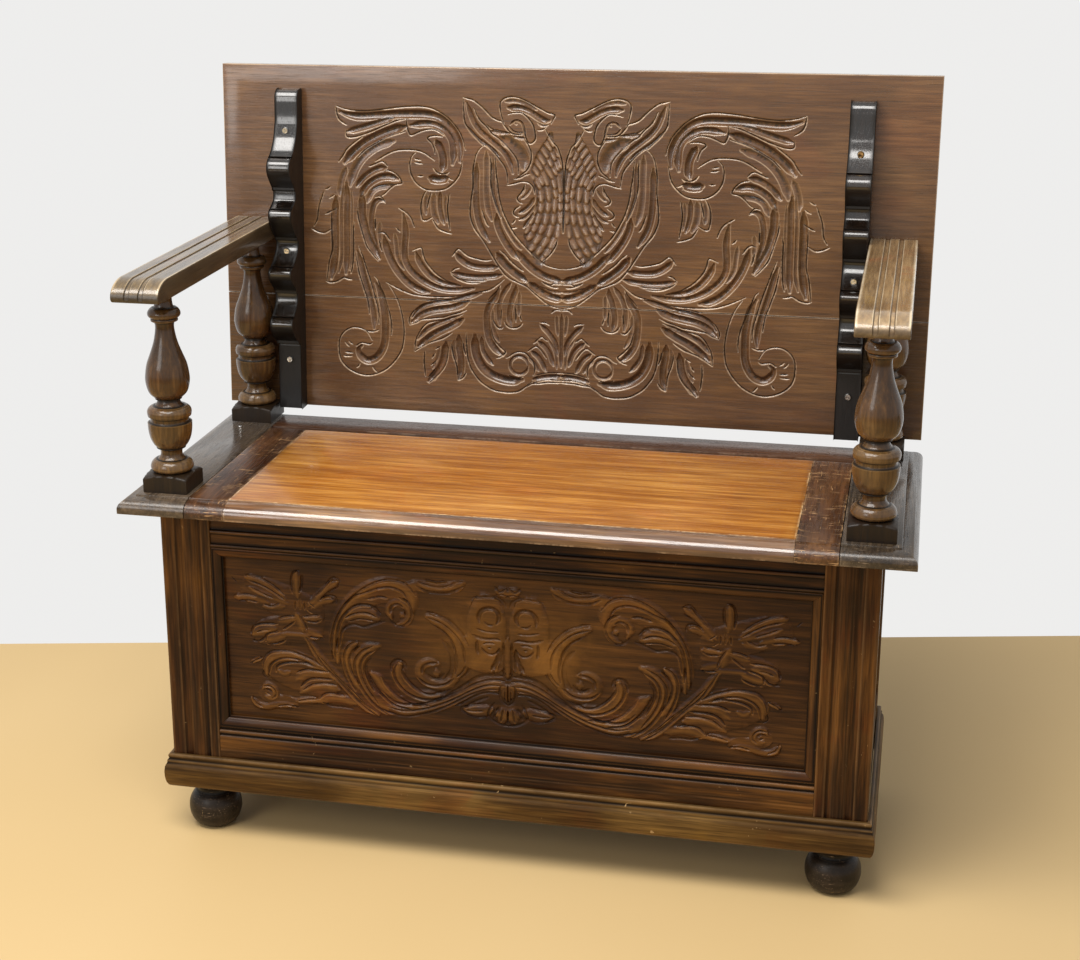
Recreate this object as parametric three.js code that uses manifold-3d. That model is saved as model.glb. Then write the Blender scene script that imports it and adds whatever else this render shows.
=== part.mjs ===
// Settle bench: an oak chest with a hinged seat, turned posts and arms, and a back that tips over and slides
// forward on two pins to make a table. Millimetres. X runs along the seat, Y from front to back, Z up.
import * as THREE from 'three';
import { mergeVertices } from 'three/addons/utils/BufferGeometryUtils.js';
import Module from 'manifold-3d';

const wasm = await Module();
wasm.setup();

// Clearances, and the overrun that every cut shares.
const fitGap = 0.3;
const lidGap = 1;
const bearerGap = 0.8;
const overrun = 5;

// Seat: one moulded outline, cut into side boards, a back rail and the four pieces of the lid.
const seatWidth = 922;
const seatDepth = 396;
const seatHeight = 452;
const seatThickness = 20;
const edgeWidth = 18;
const edgeLip = 6;
const edgeStep = 1.5;
const sideBoardWidth = 84;
const backRailWidth = 74;
const cleatWidth = 48;
const nosingWidth = 21;
const lidTongueLength = 8;
const lidTongueThickness = 6;
const lidPinRadius = 3;
const lidPinReach = 14;

// Chest: corner posts, rails and framed panels.
const seatOverhang = 37.5;
const postWidth = 62;
const postDepth = 38;
const reedDepth = 3;
const railThickness = 24;
const railSetback = 1;
const railRelief = 3;
const topRailHeight = 48;
const bottomRailHeight = 84;
const tenonLength = 24;
const tenonShoulder = 8;
const panelThickness = 10;
const panelSetback = 9.5;
const panelGroove = 7;
const panelMouldWidth = 13;
const panelMouldFillet = 2;
const bottomThickness = 12;
const bottomLift = 14;

// Plinth moulding and bun feet.
const footHeight = 66;
const footRadius = 33;
const footInsetX = 37.5;
const footInsetY = 38.5;
const plinthHeight = 43;
const plinthReach = 9.5;

// Turned posts under the arms, each on a square block.
const armCentreInset = 51;
const frontBlockInset = 27;
const rearBlockInset = 9.5;
const blockSize = 54.4;
const turnRadius = 26.2;
const spigotRadius = 8;
const spigotLength = 12;

// Arms.
const armWidth = 57.8;
const armRise = 266;
const armThickness = 24.5;
const armOverhang = 30;
const noseLength = 34;
const noseDrop = 19;
const noseLip = 6;
const fluteDepth = 1.6;

// The back, which is also the table top, with its bearers and the pins it turns and slides on.
const topWidth = 915;
const topRise = 207;
const topClearance = 13;
const topThickness = 20;
const topChamfer = 1.5;
const topLeanDegrees = 3;
const upperBoardShare = 0.667;
const pinDepth = 11;
const pinRadius = 4;
const pinInArm = 15;
const pinInBearer = 12;
const slideTravel = 205;
const bearerWidth = 30.6;
const bearerDepth = 57.6;
const bearerStart = 31;

// How finely the round forms are divided.
const turnSegments = 16;
const pinSegments = 16;
const curveSteps = 6;
const splineSteps = 2;

// Shares of a piece's own sizes. Bun foot: [radius, height] from the floor up.
const footShares = [
  [0, 0], [0.5, 0], [0.74, 0.07], [0.92, 0.19], [1, 0.36], [0.95, 0.52],
  [0.82, 0.64], [0.7, 0.71], [0.68, 0.8], [0.74, 1], [0, 1],
];

// Plinth moulding: [reach, height] from the top down.
const plinthShares = [
  [0, 1], [0.35, 0.93], [0.5, 0.88], [0.42, 0.84], [0.62, 0.79], [0.62, 0.74], [0.86, 0.66],
  [1, 0.46], [0.97, 0.26], [0.78, 0.09], [0.45, 0],
];

// Reeded post face: [width from the inner edge, depth of the cut].
const reedShares = [
  [0, 0], [0.19, 0], [0.21, 0.75], [0.25, 1], [0.29, 0.7], [0.33, 0.2], [0.44, 0], [0.55, 0.2],
  [0.58, 0.7], [0.61, 1], [0.67, 0.9], [0.71, 0.5], [0.73, 0], [0.97, 0], [1, 0.5],
];

// Moulded rail faces: [depth of the cut, height] from the lower edge up.
const topRailShares = [
  [0.6, 0], [0.15, 0.02], [0, 0.06], [0.15, 0.1], [0.6, 0.12], [0.6, 0.35], [0.15, 0.37],
  [0, 0.41], [0.15, 0.45], [1, 0.47], [1, 1],
];
const bottomRailShares = [
  [0, 0], [0, 0.56], [0.7, 0.575], [0.7, 0.6], [0.1, 0.615], [0.1, 0.93], [0.9, 0.945], [0.9, 0.975],
  [0, 0.985], [0, 1],
];
const plainShares = [[0, 0], [0, 1]];

// Square block under a turned post: [corner radius, height of the turned post].
const blockShares = [[1, 0.069], [0.88, 0.077], [0.74, 0.084], [0.54, 0.087]];

// Turned post above its block: [radius, height], in runs that are each one smooth curve.
const turningRunShares = [
  [[0.8, 0.09], [0.97, 0.107], [0.92, 0.134], [0.76, 0.149]],
  [[0.6, 0.155], [0.485, 0.182], [0.55, 0.207]],
  [[0.6, 0.212], [0.88, 0.262], [1, 0.337]],
  [[0.88, 0.348], [0.88, 0.36]],
  [[0.97, 0.37], [0.99, 0.4], [0.8, 0.419]],
  [[0.62, 0.424], [0.5, 0.447], [0.5, 0.455]],
  [[0.58, 0.462], [0.99, 0.571], [0.55, 0.735], [0.42, 0.8], [0.48, 0.84]],
  [[0.6, 0.85], [0.72, 0.878], [0.58, 0.908]],
  [[0.42, 0.918], [0.39, 0.94], [0.41, 1]],
];

// Front of a bearer: [depth, length] from the top down, in runs that are each one smooth curve.
const bearerRunShares = [
  [[0, 0], [0.32, 0.03]],
  [[0.33, 0.09], [0.47, 0.15], [0.67, 0.187], [0.93, 0.216], [0.98, 0.238]],
  [[0.78, 0.262], [0.61, 0.285], [0.52, 0.322], [0.63, 0.344], [0.92, 0.37]],
  [[0.78, 0.4], [0.55, 0.437], [0.35, 0.462], [0.49, 0.5], [0.67, 0.523], [1, 0.551]],
  [[0.93, 0.571], [0.57, 0.609], [0.5, 0.645], [0.65, 0.675], [0.94, 0.712]],
  [[0.86, 0.732], [0.73, 0.755], [0.37, 0.79]],
  [[0.37, 1], [0, 1]],
];

// Reeds along an arm: ranges of its width from the inner edge.
const armReedShares = [[0, 0.31], [0.44, 0.6], [0.71, 1]];

// Places that follow from the sizes.
const chestHalf = seatWidth / 2 - seatOverhang;
const chestReach = seatDepth / 2 - seatOverhang;
const seatUnder = seatHeight - seatThickness;
const frameTop = seatUnder - fitGap;
const topRailBottom = frameTop - topRailHeight;
const bottomRailTop = footHeight + bottomRailHeight;
const slotNear = panelSetback - fitGap;
const slotFar = panelSetback + panelThickness + fitGap;
const lidHalf = seatWidth / 2 - sideBoardWidth;
const boardInner = lidHalf + lidGap;
const lidRear = seatDepth / 2 - backRailWidth;
const lidPinZ = seatUnder + seatThickness / 2;
const lidPinY = lidRear - seatThickness / 2;
const mitreGap = fitGap / Math.SQRT2;
const armCentre = seatWidth / 2 - armCentreInset;
const armInner = armCentre - armWidth / 2;
const armOuter = armCentre + armWidth / 2;
const armTop = seatHeight + armRise;
const armBottom = armTop - armThickness;
const armFront = -seatDepth / 2 - armOverhang;
const turnBase = seatHeight + fitGap;
const turnHeight = armBottom - fitGap - turnBase;
const blockCentres = {
  front: -seatDepth / 2 + frontBlockInset + blockSize / 2,
  rear: seatDepth / 2 - rearBlockInset - blockSize / 2,
};
const lean = THREE.MathUtils.degToRad(topLeanDegrees);
const faceDepth = pinDepth + fitGap;
const pinZ = armTop - pinDepth;
const topDrop = (pinZ - seatHeight - topClearance) / Math.cos(lean);
const pinY = blockCentres.rear + blockSize / 2 + fitGap - faceDepth * Math.cos(lean) + topDrop * Math.sin(lean);
const topRear = pinY + (faceDepth + topThickness) * Math.cos(lean) + topRise * Math.sin(lean);
const bearerOuter = armInner - bearerGap;
const bearerInner = bearerOuter - bearerWidth;

const sides = [['left', -1], ['right', 1]];
const ends = [['front', -1], ['rear', 1]];
const halfTurn = Math.PI;
const quarterTurn = Math.PI / 2;
const unitX = new THREE.Vector3(1, 0, 0);
const unitY = new THREE.Vector3(0, 1, 0);
const unitZ = new THREE.Vector3(0, 0, 1);

const finishes = {
  brownOak: { color: 0x5a3d2a, roughness: 0.5, metalness: 0 },
  darkOak: { color: 0x38261b, roughness: 0.45, metalness: 0 },
  blackOak: { color: 0x1e1713, roughness: 0.35, metalness: 0 },
  wornOak: { color: 0x86613c, roughness: 0.45, metalness: 0 },
  goldenOak: { color: 0xb5762f, roughness: 0.4, metalness: 0 },
  greyOak: { color: 0x57473b, roughness: 0.4, metalness: 0 },
  steel: { color: 0x77716a, roughness: 0.45, metalness: 1 },
};

const bench = new THREE.Group();
const topGroup = new THREE.Group();
bench.add(topGroup);

// Closed geometry to a solid that can be joined and cut. Triangles that closed up on an axis are dropped.
function solidOf(geometry) {
  const bare = geometry.clone();
  bare.deleteAttribute('normal');
  bare.deleteAttribute('uv');
  const merged = mergeVertices(bare);
  const corners = merged.index.array;
  const kept = [];
  for (let i = 0; i < corners.length; i += 3) {
    const [a, b, c] = corners.slice(i, i + 3);
    if (a !== b && b !== c && c !== a) kept.push(a, b, c);
  }
  return new wasm.Manifold(new wasm.Mesh({
    numProp: 3,
    vertProperties: merged.attributes.position.array,
    triVerts: new Uint32Array(kept),
  }));
}

function geometryOf(solid) {
  const mesh = solid.getMesh();
  const geometry = new THREE.BufferGeometry();
  geometry.setAttribute('position', new THREE.BufferAttribute(mesh.vertProperties, 3));
  geometry.setIndex(new THREE.BufferAttribute(mesh.triVerts, 1));
  geometry.computeVertexNormals();
  return geometry;
}

function addPiece(name, solid, finish, group = bench) {
  const mesh = new THREE.Mesh(geometryOf(solid), new THREE.MeshStandardMaterial(finish));
  mesh.name = name;
  group.add(mesh);
  return mesh;
}

function block(xRange, yRange, zRange) {
  const ranges = [xRange, yRange, zRange].map((range) => [...range].sort((a, b) => a - b));
  const geometry = new THREE.BoxGeometry(...ranges.map(([low, high]) => high - low));
  geometry.translate(...ranges.map(([low, high]) => (low + high) / 2));
  return solidOf(geometry);
}

// An outline of [u, v] points swept along the axis that is square to both.
function sweep(outline, uAxis, vAxis, range) {
  const [low, high] = [...range].sort((a, b) => a - b);
  const shape = new THREE.Shape(outline.map(([u, v]) => new THREE.Vector2(u, v)));
  const geometry = new THREE.ExtrudeGeometry(shape, { depth: high - low, bevelEnabled: false });
  geometry.translate(0, 0, low);
  const across = new THREE.Vector3().crossVectors(uAxis, vAxis);
  geometry.applyMatrix4(new THREE.Matrix4().makeBasis(uAxis, vAxis, across));
  return solidOf(geometry);
}

// Outline points are [y, z] here, swept along X.
function sweepX(outline, xRange) {
  return sweep(outline, unitY, unitZ, xRange);
}

// Outline points are [x, y] here, swept up Z.
function sweepZ(outline, zRange) {
  return sweep(outline, unitX, unitY, zRange);
}

// A moulding with ends at 45 degrees: each end stands at halfLength plus endSlope times u.
function mitredMoulding(section, halfLength, endSlope, uAxis, vAxis, origin) {
  const shape = new THREE.Shape(section.map(([u, v]) => new THREE.Vector2(u, v)));
  const geometry = new THREE.ExtrudeGeometry(shape, { depth: 1, bevelEnabled: false });
  const points = geometry.attributes.position;
  for (let i = 0; i < points.count; i += 1) {
    const end = points.getZ(i) > 0 ? 1 : -1;
    points.setZ(i, end * (halfLength + endSlope * points.getX(i)));
  }
  const across = new THREE.Vector3().crossVectors(uAxis, vAxis);
  geometry.applyMatrix4(new THREE.Matrix4().makeBasis(uAxis, vAxis, across).setPosition(origin));
  return solidOf(geometry);
}

// A rectangular slab centred on the origin, with one edge section of [inset, height] points on all four sides.
function edgedSlab(width, depth, section) {
  const corners = [[-1, -1], [1, -1], [1, 1], [-1, 1]];
  const points = section.flatMap(([inset, height]) => corners.flatMap(([sideX, sideY]) => [
    sideX * (width / 2 - inset),
    sideY * (depth / 2 - inset),
    height,
  ]));
  const index = [0, 2, 1, 0, 3, 2];
  for (let ring = 1; ring < section.length; ring += 1) {
    for (let i = 0; i < corners.length; i += 1) {
      const above = ring * corners.length + i;
      const aboveNext = ring * corners.length + ((i + 1) % corners.length);
      const below = above - corners.length;
      const belowNext = aboveNext - corners.length;
      index.push(below, belowNext, aboveNext, below, aboveNext, above);
    }
  }
  const cap = (section.length - 1) * corners.length;
  index.push(cap, cap + 1, cap + 2, cap, cap + 2, cap + 3);
  const geometry = new THREE.BufferGeometry();
  geometry.setAttribute('position', new THREE.BufferAttribute(new Float32Array(points), 3));
  geometry.setIndex(index);
  return geometry;
}

function arc([u, v], [radiusU, radiusV], from, to, steps = curveSteps) {
  return Array.from({ length: steps + 1 }, (_, i) => {
    const angle = from + ((to - from) * i) / steps;
    return [u + radiusU * Math.cos(angle), v + radiusV * Math.sin(angle)];
  });
}

// One smooth curve through a run of points, or the points themselves where the run is short.
function smoothRun(run) {
  if (run.length < 4) return run;
  const curve = new THREE.SplineCurve(run.map(([u, v]) => new THREE.Vector2(u, v)));
  return curve.getPoints((run.length - 1) * splineSteps).map((point) => [point.x, point.y]);
}

// A round bar or bore along X.
function roundX(radius, xRange, y, z) {
  return sweepX(arc([y, z], [radius, radius], 0, 2 * halfTurn, pinSegments).slice(1), xRange);
}

// A round bar or bore along Z.
function roundZ(radius, x, y, zRange) {
  return sweepZ(arc([x, y], [radius, radius], 0, 2 * halfTurn, pinSegments).slice(1), zRange);
}

// A shape turned on a lathe, from [radius, height] points that start and end on the axis.
function turned(profile) {
  const geometry = new THREE.LatheGeometry(profile.map(([r, h]) => new THREE.Vector2(r, h)), turnSegments);
  geometry.rotateX(quarterTurn);
  return solidOf(geometry);
}

function addFeet() {
  const bun = turned(footShares.map(([r, h]) => [r * footRadius, h * (footHeight - fitGap)]));
  for (const [side, signX] of sides) {
    for (const [end, signY] of ends) {
      const foot = addPiece(`foot_${end}_${side}`, bun, finishes.blackOak);
      foot.position.set(signX * (chestHalf - footInsetX), signY * (chestReach - footInsetY), 0);
    }
  }
}

// The four walls are made facing -Y and turned into place. Reach is the distance from the middle to the face.
const walls = [
  { name: 'front', turn: 0, reach: chestReach, halfLength: chestHalf, postSpan: postWidth },
  { name: 'right', turn: quarterTurn, reach: chestHalf, halfLength: chestReach, postSpan: postDepth },
  { name: 'back', turn: halfTurn, reach: chestReach, halfLength: chestHalf, postSpan: postWidth },
  { name: 'left', turn: -quarterTurn, reach: chestHalf, halfLength: chestReach, postSpan: postDepth },
];

function addPlinth() {
  const section = plinthShares.map(([reach, height]) => [
    fitGap + reach * (plinthReach - fitGap),
    height * plinthHeight,
  ]);
  section.push([fitGap, 0]);
  for (const { name, turn, reach, halfLength } of walls) {
    const strip = mitredMoulding(section, halfLength - mitreGap, 1, unitY.clone().negate(), unitZ,
      new THREE.Vector3(0, -reach, footHeight));
    addPiece(`plinth_${name}`, strip, finishes.wornOak).rotation.z = turn;
  }
}

function addRail(name, wall, shares, bottom, height, grooveRange) {
  const { reach, halfLength, postSpan, turn } = wall;
  const face = -reach + railSetback;
  const back = face + railThickness;
  const halfOpening = halfLength - postSpan - fitGap;
  const outline = shares.map(([cut, rise]) => [face + cut * railRelief, bottom + rise * height]);
  outline.push([back, bottom + height], [back, bottom]);
  const tenonDepths = [-reach + panelSetback, -reach + panelSetback + panelThickness];
  const tenonHeights = [bottom + tenonShoulder, bottom + height - tenonShoulder];
  const tenonHalf = halfOpening + tenonLength;
  const slotDepths = [-reach + slotNear, -reach + slotFar];
  let rail = sweepX(outline, [-halfOpening, halfOpening]);
  rail = rail.add(block([-tenonHalf, tenonHalf], tenonDepths, tenonHeights));
  rail = rail.subtract(block([-reach - halfLength, reach + halfLength], slotDepths, grooveRange));
  const holdsBottomBoard = bottom === footHeight;
  if (holdsBottomBoard) {
    const boardHeights = [bottom + bottomLift - fitGap, bottom + bottomLift + bottomThickness + fitGap];
    const boardDepths = [back - panelGroove - fitGap, back + overrun];
    rail = rail.subtract(block([-halfLength, halfLength], boardDepths, boardHeights));
  }
  addPiece(name, rail, finishes.darkOak).rotation.z = turn;
}

function addWalls() {
  const panelHeights = [bottomRailTop - panelGroove, topRailBottom + panelGroove];
  for (const wall of walls) {
    const plain = wall.name === 'back';
    const { name, reach, halfLength, postSpan, turn } = wall;
    addRail(`rail_${name}_top`, wall, plain ? plainShares : topRailShares, topRailBottom, topRailHeight,
      [topRailBottom - overrun, panelHeights[1] + fitGap]);
    addRail(`rail_${name}_bottom`, wall, plain ? plainShares : bottomRailShares, footHeight, bottomRailHeight,
      [panelHeights[0] - fitGap, bottomRailTop + overrun]);
    const panelHalf = halfLength - postSpan + panelGroove;
    const panelDepths = [-reach + panelSetback, -reach + panelSetback + panelThickness];
    addPiece(`panel_${name}`, block([-panelHalf, panelHalf], panelDepths, panelHeights), finishes.brownOak)
      .rotation.z = turn;
  }
}

// A corner post, reeded on its front face, with a mortise for each rail and a groove for each panel.
function addPosts() {
  const mortiseReach = tenonLength + 2 * fitGap;
  const slots = [
    [panelGroove + fitGap, bottomRailTop - panelGroove - fitGap, topRailBottom + panelGroove + fitGap],
    [mortiseReach, footHeight + tenonShoulder - fitGap, bottomRailTop - tenonShoulder + fitGap],
    [mortiseReach, topRailBottom + tenonShoulder - fitGap, frameTop - tenonShoulder + fitGap],
  ];
  const innerX = chestHalf - postWidth;
  const innerY = chestReach - postDepth;
  for (const [side, signX] of sides) {
    for (const [end, signY] of ends) {
      const face = end === 'front' ? reedShares : plainShares.map(([cut, across]) => [across, cut]);
      const outline = face.map(([across, cut]) => [
        signX * (innerX + across * postWidth),
        signY * (chestReach - cut * reedDepth),
      ]);
      outline.push([signX * chestHalf, signY * innerY], [signX * innerX, signY * innerY]);
      let post = sweepZ(outline, [footHeight, frameTop]);
      for (const [depth, low, high] of slots) {
        post = post.subtract(block([signX * (innerX - overrun), signX * (innerX + depth)],
          [signY * (chestReach - slotFar), signY * (chestReach - slotNear)], [low, high]));
        post = post.subtract(block([signX * (chestHalf - slotFar), signX * (chestHalf - slotNear)],
          [signY * (innerY - overrun), signY * (innerY + depth)], [low, high]));
      }
      addPiece(`post_${end}_${side}`, post, finishes.darkOak);
    }
  }
}

// Ovolo moulding planted round the front panel, mitred at the corners.
function addPanelMoulding() {
  const height = panelSetback - railSetback;
  const round = [panelMouldWidth - panelMouldFillet - fitGap, height - panelMouldFillet];
  const section = [
    [fitGap, fitGap],
    [fitGap, height],
    [panelMouldFillet, height],
    ...arc([panelMouldFillet, panelMouldFillet], round, quarterTurn, 0),
    [panelMouldWidth, panelMouldFillet],
    [panelMouldWidth, fitGap],
  ];
  const halfX = chestHalf - postWidth;
  const halfZ = (topRailBottom - bottomRailTop) / 2;
  const middleZ = bottomRailTop + halfZ;
  const faceY = -chestReach + panelSetback;
  const strips = [
    ['bottom', unitZ, halfX, [0, bottomRailTop]],
    ['top', unitZ.clone().negate(), halfX, [0, topRailBottom]],
    ['left', unitX, halfZ, [-halfX, middleZ]],
    ['right', unitX.clone().negate(), halfZ, [halfX, middleZ]],
  ];
  for (const [name, inward, halfLength, [x, z]] of strips) {
    const strip = mitredMoulding(section, halfLength - mitreGap, -1, inward, unitY.clone().negate(),
      new THREE.Vector3(x, faceY, z));
    addPiece(`panel_moulding_${name}`, strip, finishes.darkOak);
  }
}

// Floor of the chest, in grooves in the bottom rails and notched round the posts.
function addBottomBoard() {
  const wallInner = railSetback + railThickness;
  const far = [chestHalf - wallInner + panelGroove, chestReach - wallInner + panelGroove];
  const near = [chestHalf - postWidth - fitGap, chestReach - postDepth - fitGap];
  const outline = [
    [near[0], -far[1]], [near[0], -near[1]], [far[0], -near[1]],
    [far[0], near[1]], [near[0], near[1]], [near[0], far[1]],
    [-near[0], far[1]], [-near[0], near[1]], [-far[0], near[1]],
    [-far[0], -near[1]], [-near[0], -near[1]], [-near[0], -far[1]],
  ];
  const low = footHeight + bottomLift;
  addPiece('bottom_board', sweepZ(outline, [low, low + bottomThickness]), finishes.brownOak);
}

// The whole seat as one slab with a thumb moulding on its four edges.
function seatSlab() {
  const section = [
    [0, seatUnder],
    ...arc([edgeWidth, seatUnder + edgeLip], [edgeWidth, seatThickness - edgeLip - edgeStep], halfTurn, quarterTurn),
    [edgeWidth, seatHeight],
  ];
  return solidOf(edgedSlab(seatWidth, seatDepth, section));
}

function seatSlice(xRange, yRange) {
  return seatSlab().intersect(block(xRange, yRange, [seatUnder - overrun, seatHeight + overrun]));
}

function addSeat() {
  const front = -seatDepth / 2 - overrun;
  const rear = seatDepth / 2 + overrun;
  for (const [side, sign] of sides) {
    let board = seatSlice([sign * boardInner, sign * (seatWidth / 2 + overrun)], [front, rear]);
    board = board.subtract(roundX(lidPinRadius + fitGap,
      [sign * (boardInner - overrun), sign * (boardInner + lidPinReach + fitGap)], lidPinY, lidPinZ));
    for (const [end] of ends) {
      board = board.subtract(roundZ(spigotRadius + fitGap, sign * armCentre, blockCentres[end],
        [seatHeight - spigotLength - fitGap, seatHeight + overrun]));
    }
    addPiece(`seat_side_${side}`, board, finishes.greyOak);
    addPiece(`lid_pin_${side}`, roundX(lidPinRadius,
      [sign * (lidHalf - lidPinReach), sign * (boardInner + lidPinReach)], lidPinY, lidPinZ), finishes.steel);
  }
  const railHalf = boardInner - fitGap;
  addPiece('seat_back_rail', seatSlice([-railHalf, railHalf], [lidRear + lidGap, rear]), finishes.brownOak);
}

// The lid: a panel tongued into two end cleats behind a front nosing. Its rear edge is round about the pins.
function addLid() {
  const front = -seatDepth / 2 - overrun;
  const rounding = sweepX([
    [lidPinY, seatHeight + overrun],
    [front, seatHeight + overrun],
    [front, seatUnder - overrun],
    [lidPinY, seatUnder - overrun],
    ...arc([lidPinY, lidPinZ], [seatThickness / 2, seatThickness / 2], -quarterTurn, quarterTurn),
  ], [-seatWidth, seatWidth]);
  const cleatInner = lidHalf - cleatWidth;
  const panelHalf = cleatInner - fitGap;
  const nosingRear = -seatDepth / 2 + nosingWidth;
  const panelFront = nosingRear + fitGap;
  const tongueHalf = panelHalf + lidTongueLength;
  const tongue = block([-tongueHalf, tongueHalf], [panelFront, lidPinY],
    [lidPinZ - lidTongueThickness / 2, lidPinZ + lidTongueThickness / 2]);
  const grooveHalf = tongueHalf + fitGap;
  const groove = block([-grooveHalf, grooveHalf], [panelFront - fitGap, lidPinY + fitGap],
    [lidPinZ - lidTongueThickness / 2 - fitGap, lidPinZ + lidTongueThickness / 2 + fitGap]);
  const panel = seatSlice([-panelHalf, panelHalf], [panelFront, lidRear + overrun]).intersect(rounding);
  addPiece('lid_panel', panel.add(tongue), finishes.goldenOak);
  addPiece('lid_nosing', seatSlice([-panelHalf, panelHalf], [front, nosingRear]), finishes.wornOak);
  for (const [side, sign] of sides) {
    const bore = roundX(lidPinRadius + fitGap,
      [sign * (lidHalf - lidPinReach - fitGap), sign * (lidHalf + overrun)], lidPinY, lidPinZ);
    const cleat = seatSlice([sign * cleatInner, sign * lidHalf], [front, lidRear + overrun]).intersect(rounding);
    addPiece(`lid_cleat_${side}`, cleat.subtract(groove).subtract(bore), finishes.greyOak);
  }
}

// A turned post with a spigot at each end. Its square block is what is left of the turning's widest part.
function addBalusters() {
  const cornerRadius = blockSize / Math.SQRT2;
  const outer = cornerRadius + fitGap;
  const profile = [
    [0, -spigotLength],
    [spigotRadius, -spigotLength],
    [spigotRadius, 0],
    [outer, 0],
    ...blockShares.map(([r, h]) => [r * outer, h * turnHeight]),
    ...turningRunShares.flatMap(smoothRun).map(([r, h]) => [r * turnRadius, h * turnHeight]),
    [spigotRadius, turnHeight],
    [spigotRadius, turnHeight + spigotLength],
    [0, turnHeight + spigotLength],
  ];
  const half = blockSize / 2;
  const square = block([-half, half], [-half, half], [-spigotLength - overrun, turnHeight + spigotLength + overrun]);
  const baluster = turned(profile).intersect(square);
  for (const [side, signX] of sides) {
    for (const [end] of ends) {
      addPiece(`baluster_${end}_${side}`, baluster, finishes.brownOak)
        .position.set(signX * armCentre, blockCentres[end], turnBase);
    }
  }
}

// Side view of an arm: a drooping nose at the front and a round end about the pin. Inset gives the flutes.
function armOutline(inset) {
  const shoulder = [armFront + noseLength, armTop - noseDrop];
  const lip = [armFront + noseLip, armTop - noseDrop];
  const rearStart = -quarterTurn / 2;
  const rearEnd = Math.asin((pinDepth - inset) / pinDepth);
  return [
    ...arc(shoulder, [noseLength - inset, noseDrop - inset], quarterTurn, halfTurn),
    ...arc(lip, [noseLip - inset, armThickness - noseDrop], halfTurn, halfTurn + quarterTurn).slice(1),
    [pinY, armBottom],
    ...arc([pinY, pinZ], [pinDepth, pinDepth], rearStart, rearEnd),
  ];
}

function addArms() {
  for (const [side, sign] of sides) {
    let arm = sweepX(armOutline(fluteDepth), [sign * armInner, sign * armOuter]);
    for (const [from, to] of armReedShares) {
      arm = arm.add(sweepX(armOutline(0), [sign * (armInner + from * armWidth), sign * (armInner + to * armWidth)]));
    }
    arm = arm.subtract(roundX(pinRadius + fitGap,
      [sign * (armInner - overrun), sign * (armInner + pinInArm + fitGap)], pinY, pinZ));
    for (const [end] of ends) {
      arm = arm.subtract(roundZ(spigotRadius + fitGap, sign * armCentre, blockCentres[end],
        [armBottom - overrun, armBottom + spigotLength + fitGap]));
    }
    addPiece(`arm_${side}`, arm, finishes.wornOak);
    addPiece(`pivot_pin_${side}`, roundX(pinRadius,
      [sign * (bearerOuter - pinInBearer), sign * (armInner + pinInArm)], pinY, pinZ), finishes.steel);
  }
}

// The top is built upright about the pins' axis and then leaned back. Its show face looks to -Y.
function addTop() {
  const height = topRise + topDrop;
  const section = [
    [topChamfer, 0],
    [0, topChamfer],
    [0, topThickness - topChamfer],
    [topChamfer, topThickness],
  ];
  const slab = edgedSlab(topWidth, height, section);
  slab.rotateX(quarterTurn);
  slab.translate(0, faceDepth + topThickness, (topRise - topDrop) / 2);
  const plank = solidOf(slab);
  const jointZ = topRise - upperBoardShare * height;
  const widths = [-topWidth, topWidth];
  const depths = [0, faceDepth + topThickness + overrun];
  const upper = block(widths, depths, [jointZ + fitGap, topRise + overrun]);
  const lower = block(widths, depths, [-topDrop - overrun, jointZ]);
  addPiece('top_board_upper', plank.intersect(upper), finishes.brownOak, topGroup);
  addPiece('top_board_lower', plank.intersect(lower), finishes.brownOak, topGroup);
  addBearers();
  topGroup.position.set(0, pinY, pinZ);
  topGroup.rotation.x = -lean;
}

// Bearers screwed to the top's show face. Their bulging fronts hang under the table, and a groove with round
// ends in each outer face runs on its pin.
function addBearers() {
  const length = topRise - bearerStart + topDrop;
  const back = faceDepth - fitGap;
  const outline = bearerRunShares.flatMap(smoothRun).map(([depth, along]) => [
    back - depth * (bearerDepth - fitGap),
    topRise - bearerStart - along * length,
  ]);
  const slot = pinRadius + fitGap;
  const groove = [
    ...arc([0, 0], [slot, slot], 0, halfTurn),
    ...arc([0, -slideTravel], [slot, slot], halfTurn, 2 * halfTurn),
  ];
  for (const [side, sign] of sides) {
    const bearer = sweepX(outline, [sign * bearerInner, sign * bearerOuter]);
    const cut = sweepX(groove, [sign * (bearerOuter - pinInBearer - fitGap), sign * (bearerOuter + overrun)]);
    addPiece(`bearer_${side}`, bearer.subtract(cut), finishes.blackOak, topGroup);
  }
}

addFeet();
addPlinth();
addPosts();
addWalls();
addPanelMoulding();
addBottomBoard();
addSeat();
addBalusters();
addArms();
addLid();
addTop();

// The origin lies on the floor, midway between the arms' noses and the rear of the top.
bench.position.y = -(armFront + topRear) / 2;

export default bench;
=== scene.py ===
"""Settle bench: the finish, the carving and the wear of its oak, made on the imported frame. Metres."""
import math

import bmesh
import bpy
import numpy as np
from mathutils import Matrix, Vector, geometry


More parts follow.
